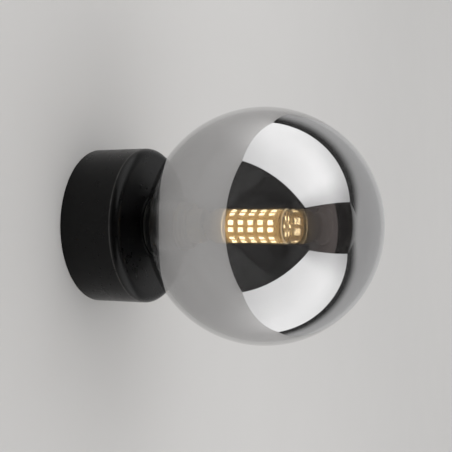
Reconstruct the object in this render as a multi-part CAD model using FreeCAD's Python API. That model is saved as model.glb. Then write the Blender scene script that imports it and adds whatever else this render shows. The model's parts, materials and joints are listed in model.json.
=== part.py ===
import FreeCAD, Part
import math
import os

# Globe wall sconce, in millimetres. The wall is the plane y = 0, the lamp stands out along -Y, and +Z
# is up. The origin is where the lamp's axis meets the wall. A depth is a distance out from the wall,
# and a radius is taken from the lamp's axis.

# Clearances
thread_play = 0.05        # metal thread in metal thread
seat_gap = 0.3            # between parts that move past each other
slip_play = 0.1           # a part that drops into another
overrun = 1.0             # how far a cut runs past what it cuts
thread_lead = 0.4         # chamfer where a thread starts

# Globe of blown glass, with a threaded neck turned in at its mouth
globe_diameter = 120.0
globe_wall = 2.0
globe_gap = 1.9           # from the canopy's face to the ball's nearest point
neck_length = 14.0
neck_wall = 2.2
lip_radius = 0.9
neck_root_radius = 1.2    # where the neck's outside meets the ball's inside

# Canopy: a deep-drawn cup of sheet steel
canopy_diameter = 82.4
canopy_depth = 32.4
canopy_sheet = 1.0
canopy_rim_radius = 4.2

# Round plate on the wall, with two ears for the canopy's side screws
plate_sheet = 1.2
plate_play = 2.2          # between the plate's edge and the canopy
ear_width = 11.0
ear_height = 8.0
ear_corner = 2.0
tongue_lap = 7.6          # how far an ear's tongue runs in under the plate's edge
wall_slot_spacing = 50.0
wall_slot_width = 5.0
wall_slot_length = 10.0
cable_hole_radius = 7.0

# Side screws: set screws with a hexagon socket
side_screw_radius = 1.5
side_screw_length = 7.0
side_screw_depth = 2.8    # from the wall to the screw's axis
side_screw_sink = 0.4     # how far the screw ends below the canopy's skin
side_socket_width = 1.5   # across flats
side_socket_deep = 2.0

# Rubber grommet in the plate's cable hole
grommet_bore_radius = 4.5
grommet_flange_radius = 9.0
grommet_flange = 1.1
grommet_groove_play = 0.05
grommet_edge = 0.6        # chamfer round the flange and the bore

# Hollow nipple and its nuts, which clamp the lampholder to the canopy
nipple_radius = 5.0
nipple_bore_radius = 4.0
nipple_below = 8.0        # length inside the canopy, behind its face sheet
nipple_proud = 1.0        # length past the outer nut
nut_width = 14.0          # across flats
nut_height = 3.0
nut_chamfer = 0.6
washer_radius = 8.5
washer_sheet = 0.8
washer_teeth = 12
washer_tooth_length = 1.2

# Threaded sleeve of the lampholder
sleeve_radius = 12.5
sleeve_length = 21.4      # from the canopy's face to the sleeve's mouth
sleeve_floor = 3.0
sleeve_flange_radius = 17.0
sleeve_flange = 1.0
sleeve_rim_bore_radius = 11.0

# Slotted ring that holds the ceramic in the sleeve
ring_height = 3.0
ring_proud = 0.8          # how far the ring stands out of the sleeve
ring_notch_width = 2.6
ring_notch_deep = 1.4

# Silicone gasket under the globe's lip
gasket_play = 0.7
gasket_width = 3.6
gasket_edge = 0.5

# Ceramic lampholder body
holder_radius = 9.0
holder_reach = 29.5       # from the canopy's face to the ceramic's face
holder_length = 16.9
holder_collar_radius = 10.8
holder_collar = 1.9
holder_edge = 0.8
pin_spacing = 9.0
slot_play = 0.35

# Spring contacts in the ceramic
clip_sheet = 0.4
clip_width = 2.8
clip_face = 1.5           # thickness of ceramic left in front of a contact's pocket
clip_leaf_length = 9.0
clip_tail_radius = 1.1
clip_tail_length = 2.6
pocket_play = 0.3

# Pin lamp
lamp_reach = 74.9         # from the canopy's face to the lamp's end
lamp_gap = 1.4            # between the ceramic and the lamp's base
pin_length = 9.2
pin_wire_radius = 0.4
pin_loop_width = 2.5
base_radius = 9.0
base_waist_radius = 7.2
base_waist = 4.0
base_length = 11.0
base_plug = 2.0
base_edge = 0.8
cover_radius = 9.2
cover_wall = 0.8
cover_edge = 1.3
core_side = 8.2           # width of each of the core's six faces
core_wall = 1.0
core_faces = 6
chip_length = 3.3         # along the lamp
chip_width = 2.8
chip_height = 0.6
chip_pitch = 5.3
chip_row_spacing = 3.5
chip_first = 2.9          # from the core's start to the middle of the first column
end_board_sheet = 0.8
end_chip_ring_radius = 4.4
end_chip_count = 6
end_chip_length = 2.9
end_chip_width = 2.2
end_gap = 0.5             # between the end chips and the cover

# Connector block on the plate
pole_count = 3
pole_pitch = 10.0
block_length = 17.0       # along the poles
block_height = 13.0
block_base = 2.4
block_from_cable = 4.0    # from the grommet's edge to the block
tube_radius = 2.6
tube_bore_radius = 1.6
tube_rise = 6.2           # from the plate to a tube's axis
tube_end = 0.8            # how far a tube ends inside the housing
hump_wall = 1.1
chimney_wall = 0.9
clamp_screw_radius = 1.4
clamp_screw_length = 4.6
clamp_screw_spacing = 8.6
screwdriver_slot = 0.6
screwdriver_slot_deep = 0.8
block_screw_radius = 1.25
block_screw_head_radius = 1.7
block_screw_head = 1.2
screw_back = 0.2          # how far a screw's end stays in front of the wall

# Earth screw on the plate
earth_offset = 19.0       # from the lamp's axis up to the screw
earth_screw_radius = 2.0
earth_head_radius = 3.9
earth_head = 2.4
earth_head_edge = 0.9
cross_length = 4.0        # cross recess in the head
cross_width = 0.8
cross_deep = 1.2
earth_washer_radius = 4.6
earth_washer_sheet = 0.8
earth_tag_radius = 4.1
earth_tag_sheet = 0.8
earth_barrel_length = 5.0
earth_barrel_floor = 1.5  # solid length at the barrel's closed end
earth_neck = 1.5          # from the ring to the neck's end
earth_neck_width = 2.4
earth_neck_lap = 0.5      # how far the barrel runs over the neck

# Inner wires
wire_radius = 0.9
wire_spread = 1.5         # half of the distance between the two wires in the nipple
wire_in_tube = 5.0
wire_clear = 0.6          # from a wire's bend to the edge it goes round
wire_turn_rise = 7.0      # where the wires turn down to the block, from the tubes' axis
wire_lead_in = 6.0        # straight run in front of a pole
wire_tight_bend = 1.9     # to the middle of the wire, where it enters the nipple
wire_bend = 5.0
earth_lane_gap = 7.0      # from the barrel's end across to the lane beside the grommet
earth_lane_length = 12.7
earth_lead_in = 7.0
earth_bend = 4.5

# Places that follow from the sizes above
globe_radius = globe_diameter / 2
globe_depth = canopy_depth + globe_gap + globe_radius
neck_bore_radius = sleeve_radius + seat_gap
neck_radius = neck_bore_radius + neck_wall
lip_ball_radius = globe_radius - lip_radius
lip_depth = globe_depth - math.sqrt(lip_ball_radius ** 2 - (neck_bore_radius + lip_radius) ** 2) - lip_radius

canopy_radius = canopy_diameter / 2
canopy_bore = canopy_radius - canopy_sheet
canopy_back = canopy_depth - canopy_sheet

plate_radius = canopy_bore - plate_play
ear_reach = math.sqrt(canopy_bore ** 2 - (ear_width / 2) ** 2) - seat_gap

nipple_start = canopy_back - nipple_below
sleeve_floor_depth = canopy_depth + sleeve_floor
nipple_end = sleeve_floor_depth + nut_height + nipple_proud
sleeve_mouth = canopy_depth + sleeve_length
ring_start = sleeve_mouth + ring_proud - ring_height
ledge_depth = ring_start - holder_collar
sleeve_bore_radius = holder_radius + slip_play

gasket_inner = sleeve_radius + gasket_play
gasket_outer = gasket_inner + gasket_width
gasket_start = canopy_depth + sleeve_flange + seat_gap
gasket_end = lip_depth - seat_gap

holder_face = canopy_depth + holder_reach
holder_rear = holder_face - holder_length
pocket_mouth = holder_face - clip_face
leaf_gap = pin_wire_radius + seat_gap
leaf_start = pocket_mouth - pocket_play - clip_leaf_length
tail_start = leaf_start - clip_sheet - clip_tail_length

base_start = holder_face + lamp_gap
base_end = base_start + base_length
lamp_end = canopy_depth + lamp_reach
pin_tip = base_start - pin_length
cover_bore = cover_radius - cover_wall
core_start = base_end + base_plug
end_chip_top = lamp_end - cover_wall - end_gap
core_end = end_chip_top - chip_height - end_board_sheet
core_flat = core_side / 2 / math.tan(math.pi / core_faces)
chip_room = core_end - core_start - chip_first - chip_length
chip_columns = 1 + int(chip_room / chip_pitch)

block_top = -(grommet_flange_radius + block_from_cable)
block_middle = block_top - block_length / 2
block_width = pole_count * pole_pitch
tube_depth = plate_sheet + tube_rise
tag_depth = plate_sheet + earth_washer_sheet
earth_neck_end = earth_tag_radius + earth_neck
earth_barrel_start = earth_neck_end - earth_neck_lap
earth_wire_depth = tag_depth + wire_radius + earth_tag_sheet
pole_places = [(pole - (pole_count - 1) / 2) * pole_pitch for pole in range(pole_count)]
gap_places = [(left + right) / 2 for left, right in zip(pole_places, pole_places[1:])]


def at(x, depth, z):
    return FreeCAD.Vector(x, -depth, z)


def turned(profile):
    """The solid that a closed (radius, depth) outline sweeps around the lamp's axis."""
    wire = Part.makePolygon([at(r, d, 0) for r, d in profile + profile[:1]])
    return Part.Face(wire).revolve(FreeCAD.Vector(), FreeCAD.Vector(0, 1, 0), 360)


def rod(radius, start, end, x=0.0, z=0.0):
    """A cylinder along the lamp's axis, between two depths."""
    return Part.makeCylinder(radius, end - start, at(x, start, z), FreeCAD.Vector(0, -1, 0))


def post(radius, low, high, x, depth):
    """A cylinder along Z."""
    return Part.makeCylinder(radius, high - low, at(x, depth, low), FreeCAD.Vector(0, 0, 1))


def block(x_size, start, end, z_size, x=0.0, z=0.0):
    """A box between two depths, centred on x and z."""
    return Part.makeBox(x_size, end - start, z_size, at(x - x_size / 2, end, z - z_size / 2))


def hexagon(corner_radius, start, end):
    """A six-sided bar along the lamp's axis, with a flat towards -X."""
    angles = [math.radians(30 + 60 * side) for side in range(7)]
    corners = [at(corner_radius * math.cos(a), start, corner_radius * math.sin(a)) for a in angles]
    return Part.Face(Part.makePolygon(corners)).extrude(FreeCAD.Vector(0, start - end, 0))


def spun(shape, degrees):
    """A copy turned about the lamp's axis."""
    copy = shape.copy()
    copy.rotate(FreeCAD.Vector(), FreeCAD.Vector(0, 1, 0), degrees)
    return copy


def circles_at(shape, radius, depth, reach=0.02):
    """The round edges of one radius that lie at one depth."""
    found = []
    for edge in shape.Edges:
        curve = edge.Curve
        if isinstance(curve, Part.Circle) and abs(curve.Radius - radius) < reach:
            if abs(-curve.Center.y - depth) < reach:
                found.append(edge)
    return found


def softened(shape, radius, edges):
    return shape.makeFillet(radius, edges)


def tube_along(points, radius, bends):
    """A round wire through the points: straight runs joined by arcs, with one bend radius a corner."""
    edges = []
    start = points[0]
    for index, bend in enumerate(bends):
        corner = points[index + 1]
        back = (points[index] - corner).normalize()
        on = (points[index + 2] - corner).normalize()
        half = back.getAngle(on) / 2
        reach = bend / math.tan(half)
        first = corner + back * reach
        last = corner + on * reach
        middle = (back + on).normalize()
        crown = corner + middle * (bend / math.sin(half) - bend)
        edges.append(Part.makeLine(start, first))
        edges.append(Part.Arc(first, crown, last).toShape())
        start = last
    edges.append(Part.makeLine(start, points[-1]))
    heading = points[1] - points[0]
    section = Part.Wire([Part.makeCircle(radius, points[0], heading)])
    return Part.Wire(edges).makePipeShell([section], True, False)


def canopy():
    """A drawn cup: its rounded front edge is one radius outside and a sheet's thickness less inside."""
    cup = rod(canopy_radius, 0, canopy_depth)
    cup = softened(cup, canopy_rim_radius, circles_at(cup, canopy_radius, canopy_depth))
    hollow = rod(canopy_bore, -overrun, canopy_back)
    inner_rim = canopy_rim_radius - canopy_sheet
    hollow = softened(hollow, inner_rim, circles_at(hollow, canopy_bore, canopy_back))
    cup = cup.cut(hollow)
    cup = cup.cut(rod(nipple_radius + slip_play, canopy_back - overrun, canopy_depth + overrun))
    for side in (-1, 1):
        low, high = sorted((side * (canopy_bore - overrun), side * (canopy_radius + overrun)))
        cup = cup.cut(post(side_screw_radius + thread_play, low, high, 0, side_screw_depth))
    return cup


def wall_slot(x):
    """A slot through the plate, with its long way along X."""
    straight = wall_slot_length - wall_slot_width
    end = plate_sheet + overrun
    slot = block(straight, -overrun, end, wall_slot_width, x)
    for side in (-1, 1):
        slot = slot.fuse(rod(wall_slot_width / 2, -overrun, end, x + side * straight / 2))
    return slot


def wall_bracket():
    """The plate, its two ears, its wall slots, its cable hole and its tapped holes."""
    plate = rod(plate_radius, 0, plate_sheet)
    tongue_root = plate_radius - tongue_lap
    for side in (-1, 1):
        middle = side * (ear_reach + tongue_root) / 2
        tongue = block(ear_width, 0, plate_sheet, ear_reach - tongue_root, 0, middle)
        ear_middle = side * (ear_reach - plate_sheet / 2)
        ear = block(ear_width, 0, ear_height, plate_sheet, 0, ear_middle)
        ends = [edge for edge in ear.Edges
                if edge.Length < plate_sheet + 0.01 and -edge.CenterOfMass.y > ear_height - 0.01
                and abs(edge.CenterOfMass.x) > ear_width / 2 - 0.01]
        plate = plate.fuse([tongue, softened(ear, ear_corner, ends)])
    for side in (-1, 1):
        low, high = sorted((side * (ear_reach - plate_sheet - overrun), side * canopy_radius))
        plate = plate.cut(post(side_screw_radius + thread_play, low, high, 0, side_screw_depth))
        plate = plate.cut(wall_slot(side * wall_slot_spacing / 2))
    through = plate_sheet + overrun
    plate = plate.cut(rod(cable_hole_radius, -overrun, through))
    plate = plate.cut(rod(earth_screw_radius + thread_play, -overrun, through, 0, earth_offset))
    for x in gap_places:
        plate = plate.cut(rod(block_screw_radius + thread_play, -overrun, through, x, block_middle))
    return plate.removeSplitter()


def side_screws():
    """Two set screws: cup point inwards, hexagon socket outwards."""
    outer = canopy_radius - side_screw_sink
    screws = []
    for side in (-1, 1):
        low, high = sorted((side * outer, side * (outer - side_screw_length)))
        screw = post(side_screw_radius, low, high, 0, side_screw_depth)
        corner = side_socket_width / math.sqrt(3)
        angles = [math.radians(60 * number) for number in range(7)]
        start = side * (outer - side_socket_deep)
        outline = [at(corner * math.cos(a), side_screw_depth + corner * math.sin(a), start)
                   for a in angles]
        socket = Part.Face(Part.makePolygon(outline))
        way = FreeCAD.Vector(0, 0, side * (side_socket_deep + overrun))
        screws.append(screw.cut(socket.extrude(way)))
    return Part.makeCompound(screws)


def cable_grommet():
    """A rubber ring with a flange on the plate's front and its body in the hole."""
    hole = cable_hole_radius - grommet_groove_play
    front = plate_sheet + grommet_flange
    return turned([(grommet_bore_radius, 0), (hole, 0),
                   (hole, plate_sheet), (grommet_flange_radius, plate_sheet),
                   (grommet_flange_radius - grommet_edge, front),
                   (grommet_bore_radius + grommet_edge, front),
                   (grommet_bore_radius, front - grommet_edge)])


def nipple():
    """The hollow threaded tube that the wires come through."""
    end_radius = nipple_radius - thread_lead
    return turned([(nipple_bore_radius, nipple_start), (end_radius, nipple_start),
                   (nipple_radius, nipple_start + thread_lead),
                   (nipple_radius, nipple_end - thread_lead),
                   (end_radius, nipple_end), (nipple_bore_radius, nipple_end)])


def nut(start):
    """A hexagon nut on the nipple, with its corners turned off on both faces."""
    corner = nut_width / math.sqrt(3)
    end = start + nut_height
    bar = hexagon(corner, start, end)
    cone = turned([(0, start), (corner - nut_chamfer, start), (corner, start + nut_chamfer),
                   (corner, end - nut_chamfer), (corner - nut_chamfer, end), (0, end)])
    return bar.common(cone).cut(rod(nipple_radius + thread_play, start - overrun, end + overrun))


def inner_nut():
    return nut(canopy_back - washer_sheet - nut_height)


def outer_nut():
    return nut(sleeve_floor_depth)


def inner_washer():
    """A toothed lock washer between the inner nut and the canopy."""
    start = canopy_back - washer_sheet
    ring = rod(washer_radius, start, canopy_back)
    ring = ring.cut(rod(nipple_radius + slip_play, start - overrun, canopy_back + overrun))
    gap = math.pi * washer_radius / washer_teeth
    notch = block(washer_tooth_length * 2, start - overrun, canopy_back + overrun, gap, washer_radius)
    for tooth in range(washer_teeth):
        ring = ring.cut(spun(notch, tooth * 360 / washer_teeth))
    return ring


def threaded_sleeve():
    """The lampholder's outer sleeve: flange, floor, and a wider bore at its mouth."""
    return turned([(nipple_radius + slip_play, canopy_depth), (sleeve_flange_radius, canopy_depth),
                   (sleeve_flange_radius, canopy_depth + sleeve_flange),
                   (sleeve_radius, canopy_depth + sleeve_flange),
                   (sleeve_radius, sleeve_mouth - thread_lead),
                   (sleeve_radius - thread_lead, sleeve_mouth),
                   (sleeve_rim_bore_radius, sleeve_mouth), (sleeve_rim_bore_radius, ledge_depth),
                   (sleeve_bore_radius, ledge_depth), (sleeve_bore_radius, sleeve_floor_depth),
                   (nipple_radius + slip_play, sleeve_floor_depth)])


def retaining_ring():
    """The ring over the ceramic's collar, with two spanner notches."""
    end = ring_start + ring_height
    outer = sleeve_rim_bore_radius - slip_play
    inner = holder_radius + slip_play
    ring = turned([(inner, ring_start), (outer, ring_start), (outer, end - thread_lead),
                   (outer - thread_lead, end), (inner, end)])
    notch = block(ring_notch_width, end - ring_notch_deep, end + overrun, 2 * (outer + overrun))
    return ring.cut(notch)


def pin_slot(start, end, x, play, half_height):
    """A flat slot with round ends, for one pin or one contact."""
    width = pin_loop_width + 2 * play
    straight = width - 2 * half_height
    slot = block(straight, start, end, 2 * half_height, x)
    for side in (-1, 1):
        slot = slot.fuse(rod(half_height, start, end, x + side * straight / 2))
    return slot


def holder_body():
    """The ceramic: a collar held by the ring, two pin slots, and a pocket behind each slot."""
    collar_end = ledge_depth + holder_collar
    body = turned([(0, holder_rear), (holder_radius - holder_edge, holder_rear),
                   (holder_radius, holder_rear + holder_edge), (holder_radius, ledge_depth),
                   (holder_collar_radius, ledge_depth), (holder_collar_radius, collar_end),
                   (holder_radius, collar_end), (holder_radius, holder_face - holder_edge),
                   (holder_radius - holder_edge, holder_face), (0, holder_face)])
    pocket_width = clip_width + 2 * pocket_play
    pocket_height = 2 * (leaf_gap + clip_sheet + pocket_play)
    for side in (-1, 1):
        x = side * pin_spacing / 2
        slot_half = pin_wire_radius + slot_play
        slot = pin_slot(pocket_mouth - overrun, holder_face + overrun, x, slot_play, slot_half)
        pocket = block(pocket_width, holder_rear - overrun, pocket_mouth, pocket_height, x)
        body = body.cut([slot, pocket])
    return body.removeSplitter()


def contact_clips():
    """Two spring contacts: a pair of leaves, the bridge behind them, and the tail on the wire."""
    clips = []
    for side in (-1, 1):
        x = side * pin_spacing / 2
        bridge_end = leaf_start
        height = 2 * (leaf_gap + clip_sheet)
        clip = block(clip_width, bridge_end - clip_sheet, bridge_end, height, x)
        for face in (-1, 1):
            z = face * (leaf_gap + clip_sheet / 2)
            leaf_end = leaf_start + clip_leaf_length
            clip = clip.fuse(block(clip_width, bridge_end, leaf_end, clip_sheet, x, z))
        tail = rod(clip_tail_radius, tail_start, bridge_end - clip_sheet, x)
        tail = tail.cut(rod(wire_radius, tail_start - overrun, tail_start + clip_tail_length / 2, x))
        clips.append(clip.fuse(tail).removeSplitter())
    return Part.makeCompound(clips)


def seat_gasket():
    """The silicone ring between the sleeve's flange and the globe's lip."""
    edge = min(gasket_edge, (gasket_end - gasket_start) / 4)
    return turned([(gasket_inner, gasket_start + edge), (gasket_inner + edge, gasket_start),
                   (gasket_outer - edge, gasket_start), (gasket_outer, gasket_start + edge),
                   (gasket_outer, gasket_end - edge), (gasket_outer - edge, gasket_end),
                   (gasket_inner + edge, gasket_end), (gasket_inner, gasket_end - edge)])


def blend_centre(ball_radius, side_radius, bend):
    """Centre of the arc of radius bend that joins a ball's inside to a cylinder it stands outside."""
    out = side_radius + bend
    return out, globe_depth - math.sqrt((ball_radius - bend) ** 2 - out ** 2)


def on_ball(centre, ball_radius, bend):
    """Where that arc meets the ball."""
    grow = ball_radius / (ball_radius - bend)
    return centre[0] * grow, globe_depth + (centre[1] - globe_depth) * grow


def arc_middle(centre, bend, one, two):
    """The middle of the arc of radius bend between two of its points."""
    way = [one[axis] + two[axis] - 2 * centre[axis] for axis in (0, 1)]
    size = math.hypot(*way)
    return centre[0] + bend * way[0] / size, centre[1] + bend * way[1] / size


def glass_globe():
    """A blown ball with its mouth turned in to a threaded neck, all one wall with a soft lip."""
    inner_radius = globe_radius - globe_wall
    neck_end = lip_depth + neck_length
    round_end = neck_wall / 2
    lip = blend_centre(globe_radius, neck_bore_radius, lip_radius)
    lip_bore = (neck_bore_radius, lip[1])
    lip_ball = on_ball(lip, globe_radius, lip_radius)
    root = blend_centre(inner_radius, neck_radius, neck_root_radius)
    root_neck = (neck_radius, root[1])
    root_ball = on_ball(root, inner_radius, neck_root_radius)
    end_bore = (neck_bore_radius, neck_end - round_end)
    end_neck = (neck_radius, neck_end - round_end)
    outer_pole = (0, globe_depth + globe_radius)
    inner_pole = (0, globe_depth + inner_radius)

    def curve(start, middle, end):
        return Part.Arc(at(start[0], start[1], 0), at(middle[0], middle[1], 0), at(end[0], end[1], 0))

    def line(start, end):
        return Part.LineSegment(at(start[0], start[1], 0), at(end[0], end[1], 0))

    outline = [line(end_bore, lip_bore),
               curve(lip_bore, arc_middle(lip, lip_radius, lip_bore, lip_ball), lip_ball),
               curve(lip_ball, (globe_radius, globe_depth), outer_pole),
               line(outer_pole, inner_pole),
               curve(inner_pole, (inner_radius, globe_depth), root_ball),
               curve(root_ball, arc_middle(root, neck_root_radius, root_ball, root_neck), root_neck),
               line(root_neck, end_neck),
               curve(end_neck, (neck_bore_radius + round_end, neck_end), end_bore)]
    face = Part.Face(Part.Wire([part.toShape() for part in outline]))
    return face.revolve(FreeCAD.Vector(), FreeCAD.Vector(0, 1, 0), 360)


def lamp_pins():
    """Two wire loops, each bent back on itself."""
    pins = []
    half = pin_loop_width / 2 - pin_wire_radius
    for side in (-1, 1):
        x = side * pin_spacing / 2
        turn = pin_tip + pin_wire_radius + half
        down = Part.makeLine(at(x - half, base_start, 0), at(x - half, turn, 0))
        around = Part.Arc(at(x - half, turn, 0), at(x, turn - half, 0), at(x + half, turn, 0)).toShape()
        up = Part.makeLine(at(x + half, turn, 0), at(x + half, base_start, 0))
        start = at(x - half, base_start, 0)
        section = Part.Wire([Part.makeCircle(pin_wire_radius, start, FreeCAD.Vector(0, 1, 0))])
        pins.append(Part.Wire([down, around, up]).makePipeShell([section], True, False))
    return Part.makeCompound(pins)


def lamp_base():
    """The lamp's base: waist, shoulder, and a plug that the cover sits on."""
    plug = cover_bore - slip_play
    return turned([(0, base_start), (base_waist_radius - base_edge, base_start),
                   (base_waist_radius, base_start + base_edge),
                   (base_waist_radius, base_start + base_waist),
                   (base_radius, base_start + base_waist + base_edge), (base_radius, base_end),
                   (plug, base_end), (plug, core_start), (0, core_start)])


def lamp_cover():
    """The clear cup over the core, open at the base."""
    cup = rod(cover_radius, base_end, lamp_end)
    cup = softened(cup, cover_edge, circles_at(cup, cover_radius, lamp_end))
    bore = rod(cover_bore, base_end - overrun, lamp_end - cover_wall)
    inner_edge = cover_edge - cover_wall
    bore = softened(bore, inner_edge, circles_at(bore, cover_bore, lamp_end - cover_wall))
    return cup.cut(bore)


def led_core():
    """Six boards edge to edge, as one hexagon tube."""
    inner = core_side - core_wall * 2 / math.sqrt(3)
    hollow = hexagon(inner, core_start - overrun, core_end + overrun)
    return hexagon(core_side, core_start, core_end).cut(hollow)


def side_chips():
    """LED packages in two rows on each face of the core, made on the face towards -X and turned."""
    chips = []
    x = -core_flat - chip_height / 2
    for face in range(core_faces):
        for column in range(chip_columns):
            start = core_start + chip_first + column * chip_pitch - chip_length / 2
            for row in (-1, 1):
                z = row * chip_row_spacing / 2
                package = block(chip_height, start, start + chip_length, chip_width, x, z)
                chips.append(spun(package, face * 360 / core_faces))
    return Part.makeCompound(chips)


def end_board():
    return hexagon(core_side, core_end, core_end + end_board_sheet)


def end_chips():
    """LED packages in a ring on the end board."""
    chips = []
    start = core_end + end_board_sheet
    for number in range(end_chip_count):
        box = block(end_chip_length, start, start + chip_height, end_chip_width, end_chip_ring_radius)
        chips.append(spun(box, number * 360 / end_chip_count))
    return Part.makeCompound(chips)


def terminal_housing():
    """The connector block: a foot, one hump over each pole, and two screw chimneys a pole."""
    foot = block(block_width, plate_sheet, plate_sheet + block_base, block_length, 0, block_middle)
    housing = foot
    seat = plate_sheet + block_base
    top = plate_sheet + block_height
    low = block_middle - block_length / 2
    high = block_middle + block_length / 2
    for x in pole_places:
        hump = tube_radius + hump_wall
        column = block(2 * hump, plate_sheet, tube_depth, block_length, x, block_middle)
        housing = housing.fuse([column, post(hump, low, high, x, tube_depth)])
        for z in screw_places():
            chimney = clamp_screw_radius + chimney_wall
            housing = housing.fuse(rod(chimney, tube_depth, top, x, z))
    for x in gap_places:
        hole = rod(block_screw_radius + slip_play, plate_sheet - overrun, top, x, block_middle)
        well = rod(block_screw_head_radius + slip_play, seat, top, x, block_middle)
        housing = housing.cut([hole, well])
    housing = housing.removeSplitter()
    for x in pole_places:
        housing = housing.cut(post(tube_bore_radius, low - overrun, high + overrun, x, tube_depth))
        housing = housing.cut(post(tube_radius, low + tube_end, high - tube_end, x, tube_depth))
        for z in screw_places():
            shaft = clamp_screw_radius + slip_play
            housing = housing.cut(rod(shaft, tube_depth, top + overrun, x, z))
    return housing


def screw_places():
    return [block_middle + side * clamp_screw_spacing / 2 for side in (-1, 1)]


def terminal_tubes():
    """A brass tube in each pole, tapped for its two screws."""
    low = block_middle - block_length / 2 + tube_end
    high = block_middle + block_length / 2 - tube_end
    tubes = []
    skin = tube_depth + tube_radius
    for x in pole_places:
        tube = post(tube_radius, low, high, x, tube_depth)
        tube = tube.cut(post(tube_bore_radius, low - overrun, high + overrun, x, tube_depth))
        for z in screw_places():
            tube = tube.cut(rod(clamp_screw_radius + thread_play, tube_depth, skin + overrun, x, z))
        tubes.append(tube)
    return Part.makeCompound(tubes)


def slotted_rod(radius, start, end, x, z):
    """A headless screw with a screwdriver slot in its outer end."""
    length = 2 * (radius + overrun)
    slot = block(length, end - screwdriver_slot_deep, end + overrun, screwdriver_slot, x, z)
    return rod(radius, start, end, x, z).cut(slot)


def clamp_screws():
    tip = tube_depth + wire_radius
    return Part.makeCompound([slotted_rod(clamp_screw_radius, tip, tip + clamp_screw_length, x, z)
                              for x in pole_places for z in screw_places()])


def block_screws():
    """The two screws between the poles that hold the block to the plate."""
    screws = []
    for x in gap_places:
        seat = plate_sheet + block_base
        shank = rod(block_screw_radius, screw_back, seat, x, block_middle)
        head = slotted_rod(block_screw_head_radius, seat, seat + block_screw_head, x, block_middle)
        screws.append(shank.fuse(head).removeSplitter())
    return Part.makeCompound(screws)


def earth_screw():
    """A pan-head screw with a cross recess."""
    seat = tag_depth + earth_tag_sheet
    head = rod(earth_head_radius, seat, seat + earth_head, 0, earth_offset)
    top = seat + earth_head
    head = softened(head, earth_head_edge, circles_at(head, earth_head_radius, top))
    for x_size, z_size in ((cross_length, cross_width), (cross_width, cross_length)):
        head = head.cut(block(x_size, top - cross_deep, top + overrun, z_size, 0, earth_offset))
    shank = rod(earth_screw_radius, screw_back, seat, 0, earth_offset)
    return head.fuse(shank).removeSplitter()


def earth_washer():
    ring = rod(earth_washer_radius, plate_sheet, tag_depth, 0, earth_offset)
    return ring.cut(rod(earth_screw_radius + slip_play, 0, tag_depth + overrun, 0, earth_offset))


def earth_tag():
    """A ring terminal with its barrel to the +X side, where the wire turns down to the block."""
    end = tag_depth + earth_tag_sheet
    ring = rod(earth_tag_radius, tag_depth, end, 0, earth_offset)
    neck = block(earth_neck_end, tag_depth, end, earth_neck_width, earth_neck_end / 2, earth_offset)
    along = FreeCAD.Vector(1, 0, 0)
    centre = at(earth_barrel_start, earth_wire_depth, earth_offset)
    barrel = Part.makeCylinder(wire_radius + earth_tag_sheet, earth_barrel_length, centre, along)
    bore = Part.makeCylinder(wire_radius, earth_barrel_length, centre + along * earth_barrel_floor, along)
    hole = rod(earth_screw_radius + slip_play, 0, end + overrun, 0, earth_offset)
    return ring.fuse([neck, barrel]).cut([hole, bore])


def lamp_wire(side, pole_x):
    """From a contact's tail, through the nipple and down to its pole in the block."""
    tail_x = side * pin_spacing / 2
    spread_x = side * wire_spread
    start = tail_start + clip_tail_length / 2
    turn_depth = tube_depth + wire_turn_rise
    points = [at(tail_x, start, 0),
              at(tail_x, holder_rear - wire_clear, 0),
              at(spread_x, nipple_end + wire_clear, 0),
              at(spread_x, turn_depth, 0),
              at(pole_x, tube_depth, block_top + wire_lead_in),
              at(pole_x, tube_depth, block_top - tube_end - wire_in_tube)]
    bends = [wire_tight_bend, wire_tight_bend, wire_bend, wire_bend]
    return tube_along(points, wire_radius, bends)


def live_wire():
    return lamp_wire(-1, pole_places[0])


def neutral_wire():
    return lamp_wire(1, pole_places[-1])


def earth_wire():
    """From the ring tag round the grommet to the middle pole."""
    lane_x = earth_tag_radius + earth_barrel_length + earth_lane_gap
    points = [at(earth_barrel_start + earth_barrel_floor, earth_wire_depth, earth_offset),
              at(lane_x, earth_wire_depth, earth_offset),
              at(lane_x, earth_wire_depth, earth_offset - earth_lane_length),
              at(0, tube_depth, block_top + earth_lead_in),
              at(0, tube_depth, block_top - tube_end - wire_in_tube)]
    return tube_along(points, wire_radius, [earth_bend] * 3)


nodes = [canopy, wall_bracket, side_screws, cable_grommet, nipple, inner_nut, inner_washer, outer_nut,
         threaded_sleeve, retaining_ring, holder_body, contact_clips, seat_gasket, glass_globe,
         lamp_pins, lamp_base, led_core, side_chips, end_board, end_chips, lamp_cover,
         terminal_housing, terminal_tubes, clamp_screws, block_screws, earth_screw, earth_washer,
         earth_tag, live_wire, neutral_wire, earth_wire]

os.makedirs("parts", exist_ok=True)
for make in nodes:
    shape = make()
    name = make.__name__
    if not shape.isValid() or not shape.Solids:
        raise ValueError(name + " is not a sound solid")
    shape.exportStep("parts/" + name + ".step")
    print(name, len(shape.Solids), "solids,", round(shape.Volume, 1), "mm3")
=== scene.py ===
# %% [markdown]
# # A globe wall sconce
# A black steel canopy on the wall carries a smoked half-mirror glass globe, and a small pin lamp glows
# inside it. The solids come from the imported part, which is the fixed frame of this scene. This file
# gives every solid its finish, and models again the few pieces whose look needs a finer mesh: the
# blown glass, the threaded sleeve, the lamp's clear cover and its LEDs.

# %% Load the frame
import json
import math

import bmesh
import bpy
from mathutils import Matrix, Vector


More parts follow.
